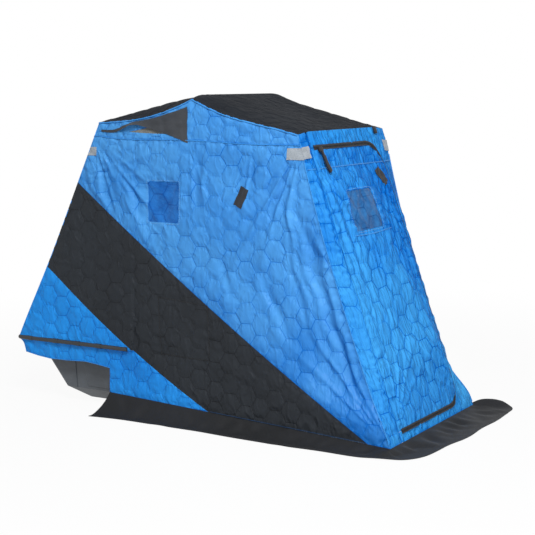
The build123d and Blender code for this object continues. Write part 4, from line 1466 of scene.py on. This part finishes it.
sled_plastic = solid_finish("sled plastic", (84, 89, 95), (66, 71, 76), 0.5, 0.35)
rail_paint = solid_finish("rail paint", (44, 46, 48), (30, 32, 34), 0.45, 0.15)
plate_paint = solid_finish("plate paint", (48, 49, 52), (34, 35, 38), 0.5, 0.2)
bow_tube = solid_finish("bow tube", (205, 207, 210), (180, 183, 188), 0.3, 0.05, metal=1.0)
rigid = {"sled_tub": sled_plastic, "base_rail": rail_paint,
         "right_pivot_plate": plate_paint, "left_pivot_plate": plate_paint,
         "ground_bow": bow_tube, "front_bow": bow_tube, "ridge_bow": bow_tube, "rear_bow": bow_tube}
for node, finish in rigid.items():
    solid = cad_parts[node]
    solid.data.materials.clear()
    solid.data.materials.append(finish)
print("finished", len(rigid), "rigid pieces")

# %% Rings on the rail
rail_low, rail_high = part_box("base_rail")
tube_radius, ring_radius, half_ring = 0.011, 0.0128, 0.018
ring_y, ring_z = rail_high.y - tube_radius, (rail_low.z + rail_high.z) / 2
rings = [[(seam_x - back + shift, side * ring_y, ring_z) for shift in (-half_ring, half_ring)]
         for back in (2.124, 1.950, 1.801, 1.662) for side in (-1, 1)]
cord("rail_rings", rings, ring_radius, rail_paint)

# %% [markdown]
# ## Studio
# A white sweep, a soft sky and two large soft lamps. The floor and the sky look white
# to the camera and to gloss, while the light on the hut stays at a plain level.


# %% Floor and sky
def background_rays(wire):
    """One for rays that see the background: from the camera, from gloss and through film."""
    path = wire.node("ShaderNodeLightPath")
    seen = path.math("MAXIMUM", path.other("Is Glossy Ray"))
    return seen.math("MAXIMUM", path.other("Is Transmission Ray"))


floor_half, floor_drop, sky_light = 30, -0.001, 0.36
fixed = {"Base Color": (0.65, 0.65, 0.65, 1), "Roughness": 0.9}
floor_finish, floor_shader, floor_place = new_finish("floor", fixed)
glow = floor_place.node("ShaderNodeEmission", {}, {"Strength": 1.0})
far = floor_place.node("ShaderNodeVectorMath", {"operation": "LENGTH"}, {0: floor_place}, "Value")
white = background_rays(floor_place) * far.fade(1.6, 4.5, 0.94, 1.0)
looks = {0: white, 1: Wire(floor_shader.outputs[0]), 2: glow}
floor_look = floor_place.node("ShaderNodeMixShader", {}, looks)
floor_nodes = floor_finish.node_tree
floor_nodes.links.new(floor_look.socket, floor_nodes.nodes["Material Output"].inputs["Surface"])
corners = [(x * floor_half, y * floor_half, floor_drop) for x, y in ((-1, -1), (1, -1), (1, 1), (-1, 1))]
floor = make_mesh("floor", corners, [(0, 1, 2, 3)], floor_finish)
world = bpy.data.worlds.new("studio sky")
bpy.context.scene.world = world
world.use_nodes = True
sky = world.node_tree.nodes["Background"]
sky.inputs["Color"].default_value = (1, 1, 1, 1)
strength = background_rays(Wire(sky.outputs[0])) * (1 - sky_light) + sky_light
world.node_tree.links.new(strength.socket, sky.inputs["Strength"])
print("the sky lights the hut at", sky_light, "of white")

# %% [markdown]
# The key lamp stands high on the right and the front lamp low before the door. The
# camera stands off the right front corner with a long lens, tipped and rolled a little.


# %% Lamps and camera
def lamp(name, place, aim, size, power):
    """A large soft lamp that points at a place."""
    light = bpy.data.lights.new(name, "AREA")
    light.shape, light.size, light.energy = "DISK", size, power
    holder = stand(name, light)
    holder.location = place
    holder.rotation_euler = (Vector(aim) - Vector(place)).to_track_quat("-Z", "Y").to_euler()


lamp("key lamp", (2.4, -3.4, 4.2), (0.1, 0, 0.9), 1.4, 258)
lamp("front lamp", (5.0, -1.8, 1.0), (0.7, 0, 0.5), 1.6, 58)
camera = bpy.data.cameras.new("camera")
camera.sensor_width, camera.lens = 36.0, 1300 / 535 * 36
eye = stand("camera", camera)
turn, tip, roll = math.radians(31.8), math.radians(7.94), math.radians(0.6)
ahead = Vector((-math.sin(turn) * math.cos(tip), math.cos(turn) * math.cos(tip), -math.sin(tip)))
right = Vector((math.cos(turn), math.sin(turn), 0))
down = ahead.cross(right)
level = right * math.cos(roll) + down * math.sin(roll)
drop = down * math.cos(roll) - right * math.sin(roll)
stance = Matrix((level, -drop, -ahead)).transposed().to_4x4()
stance.translation = Vector((seam_x + 2.5256, -5.5781, 1.65))
eye.matrix_world = stance
bpy.context.scene.camera = eye
bpy.context.scene.view_settings.view_transform = "Standard"
print("camera at", [round(v, 3) for v in stance.translation])
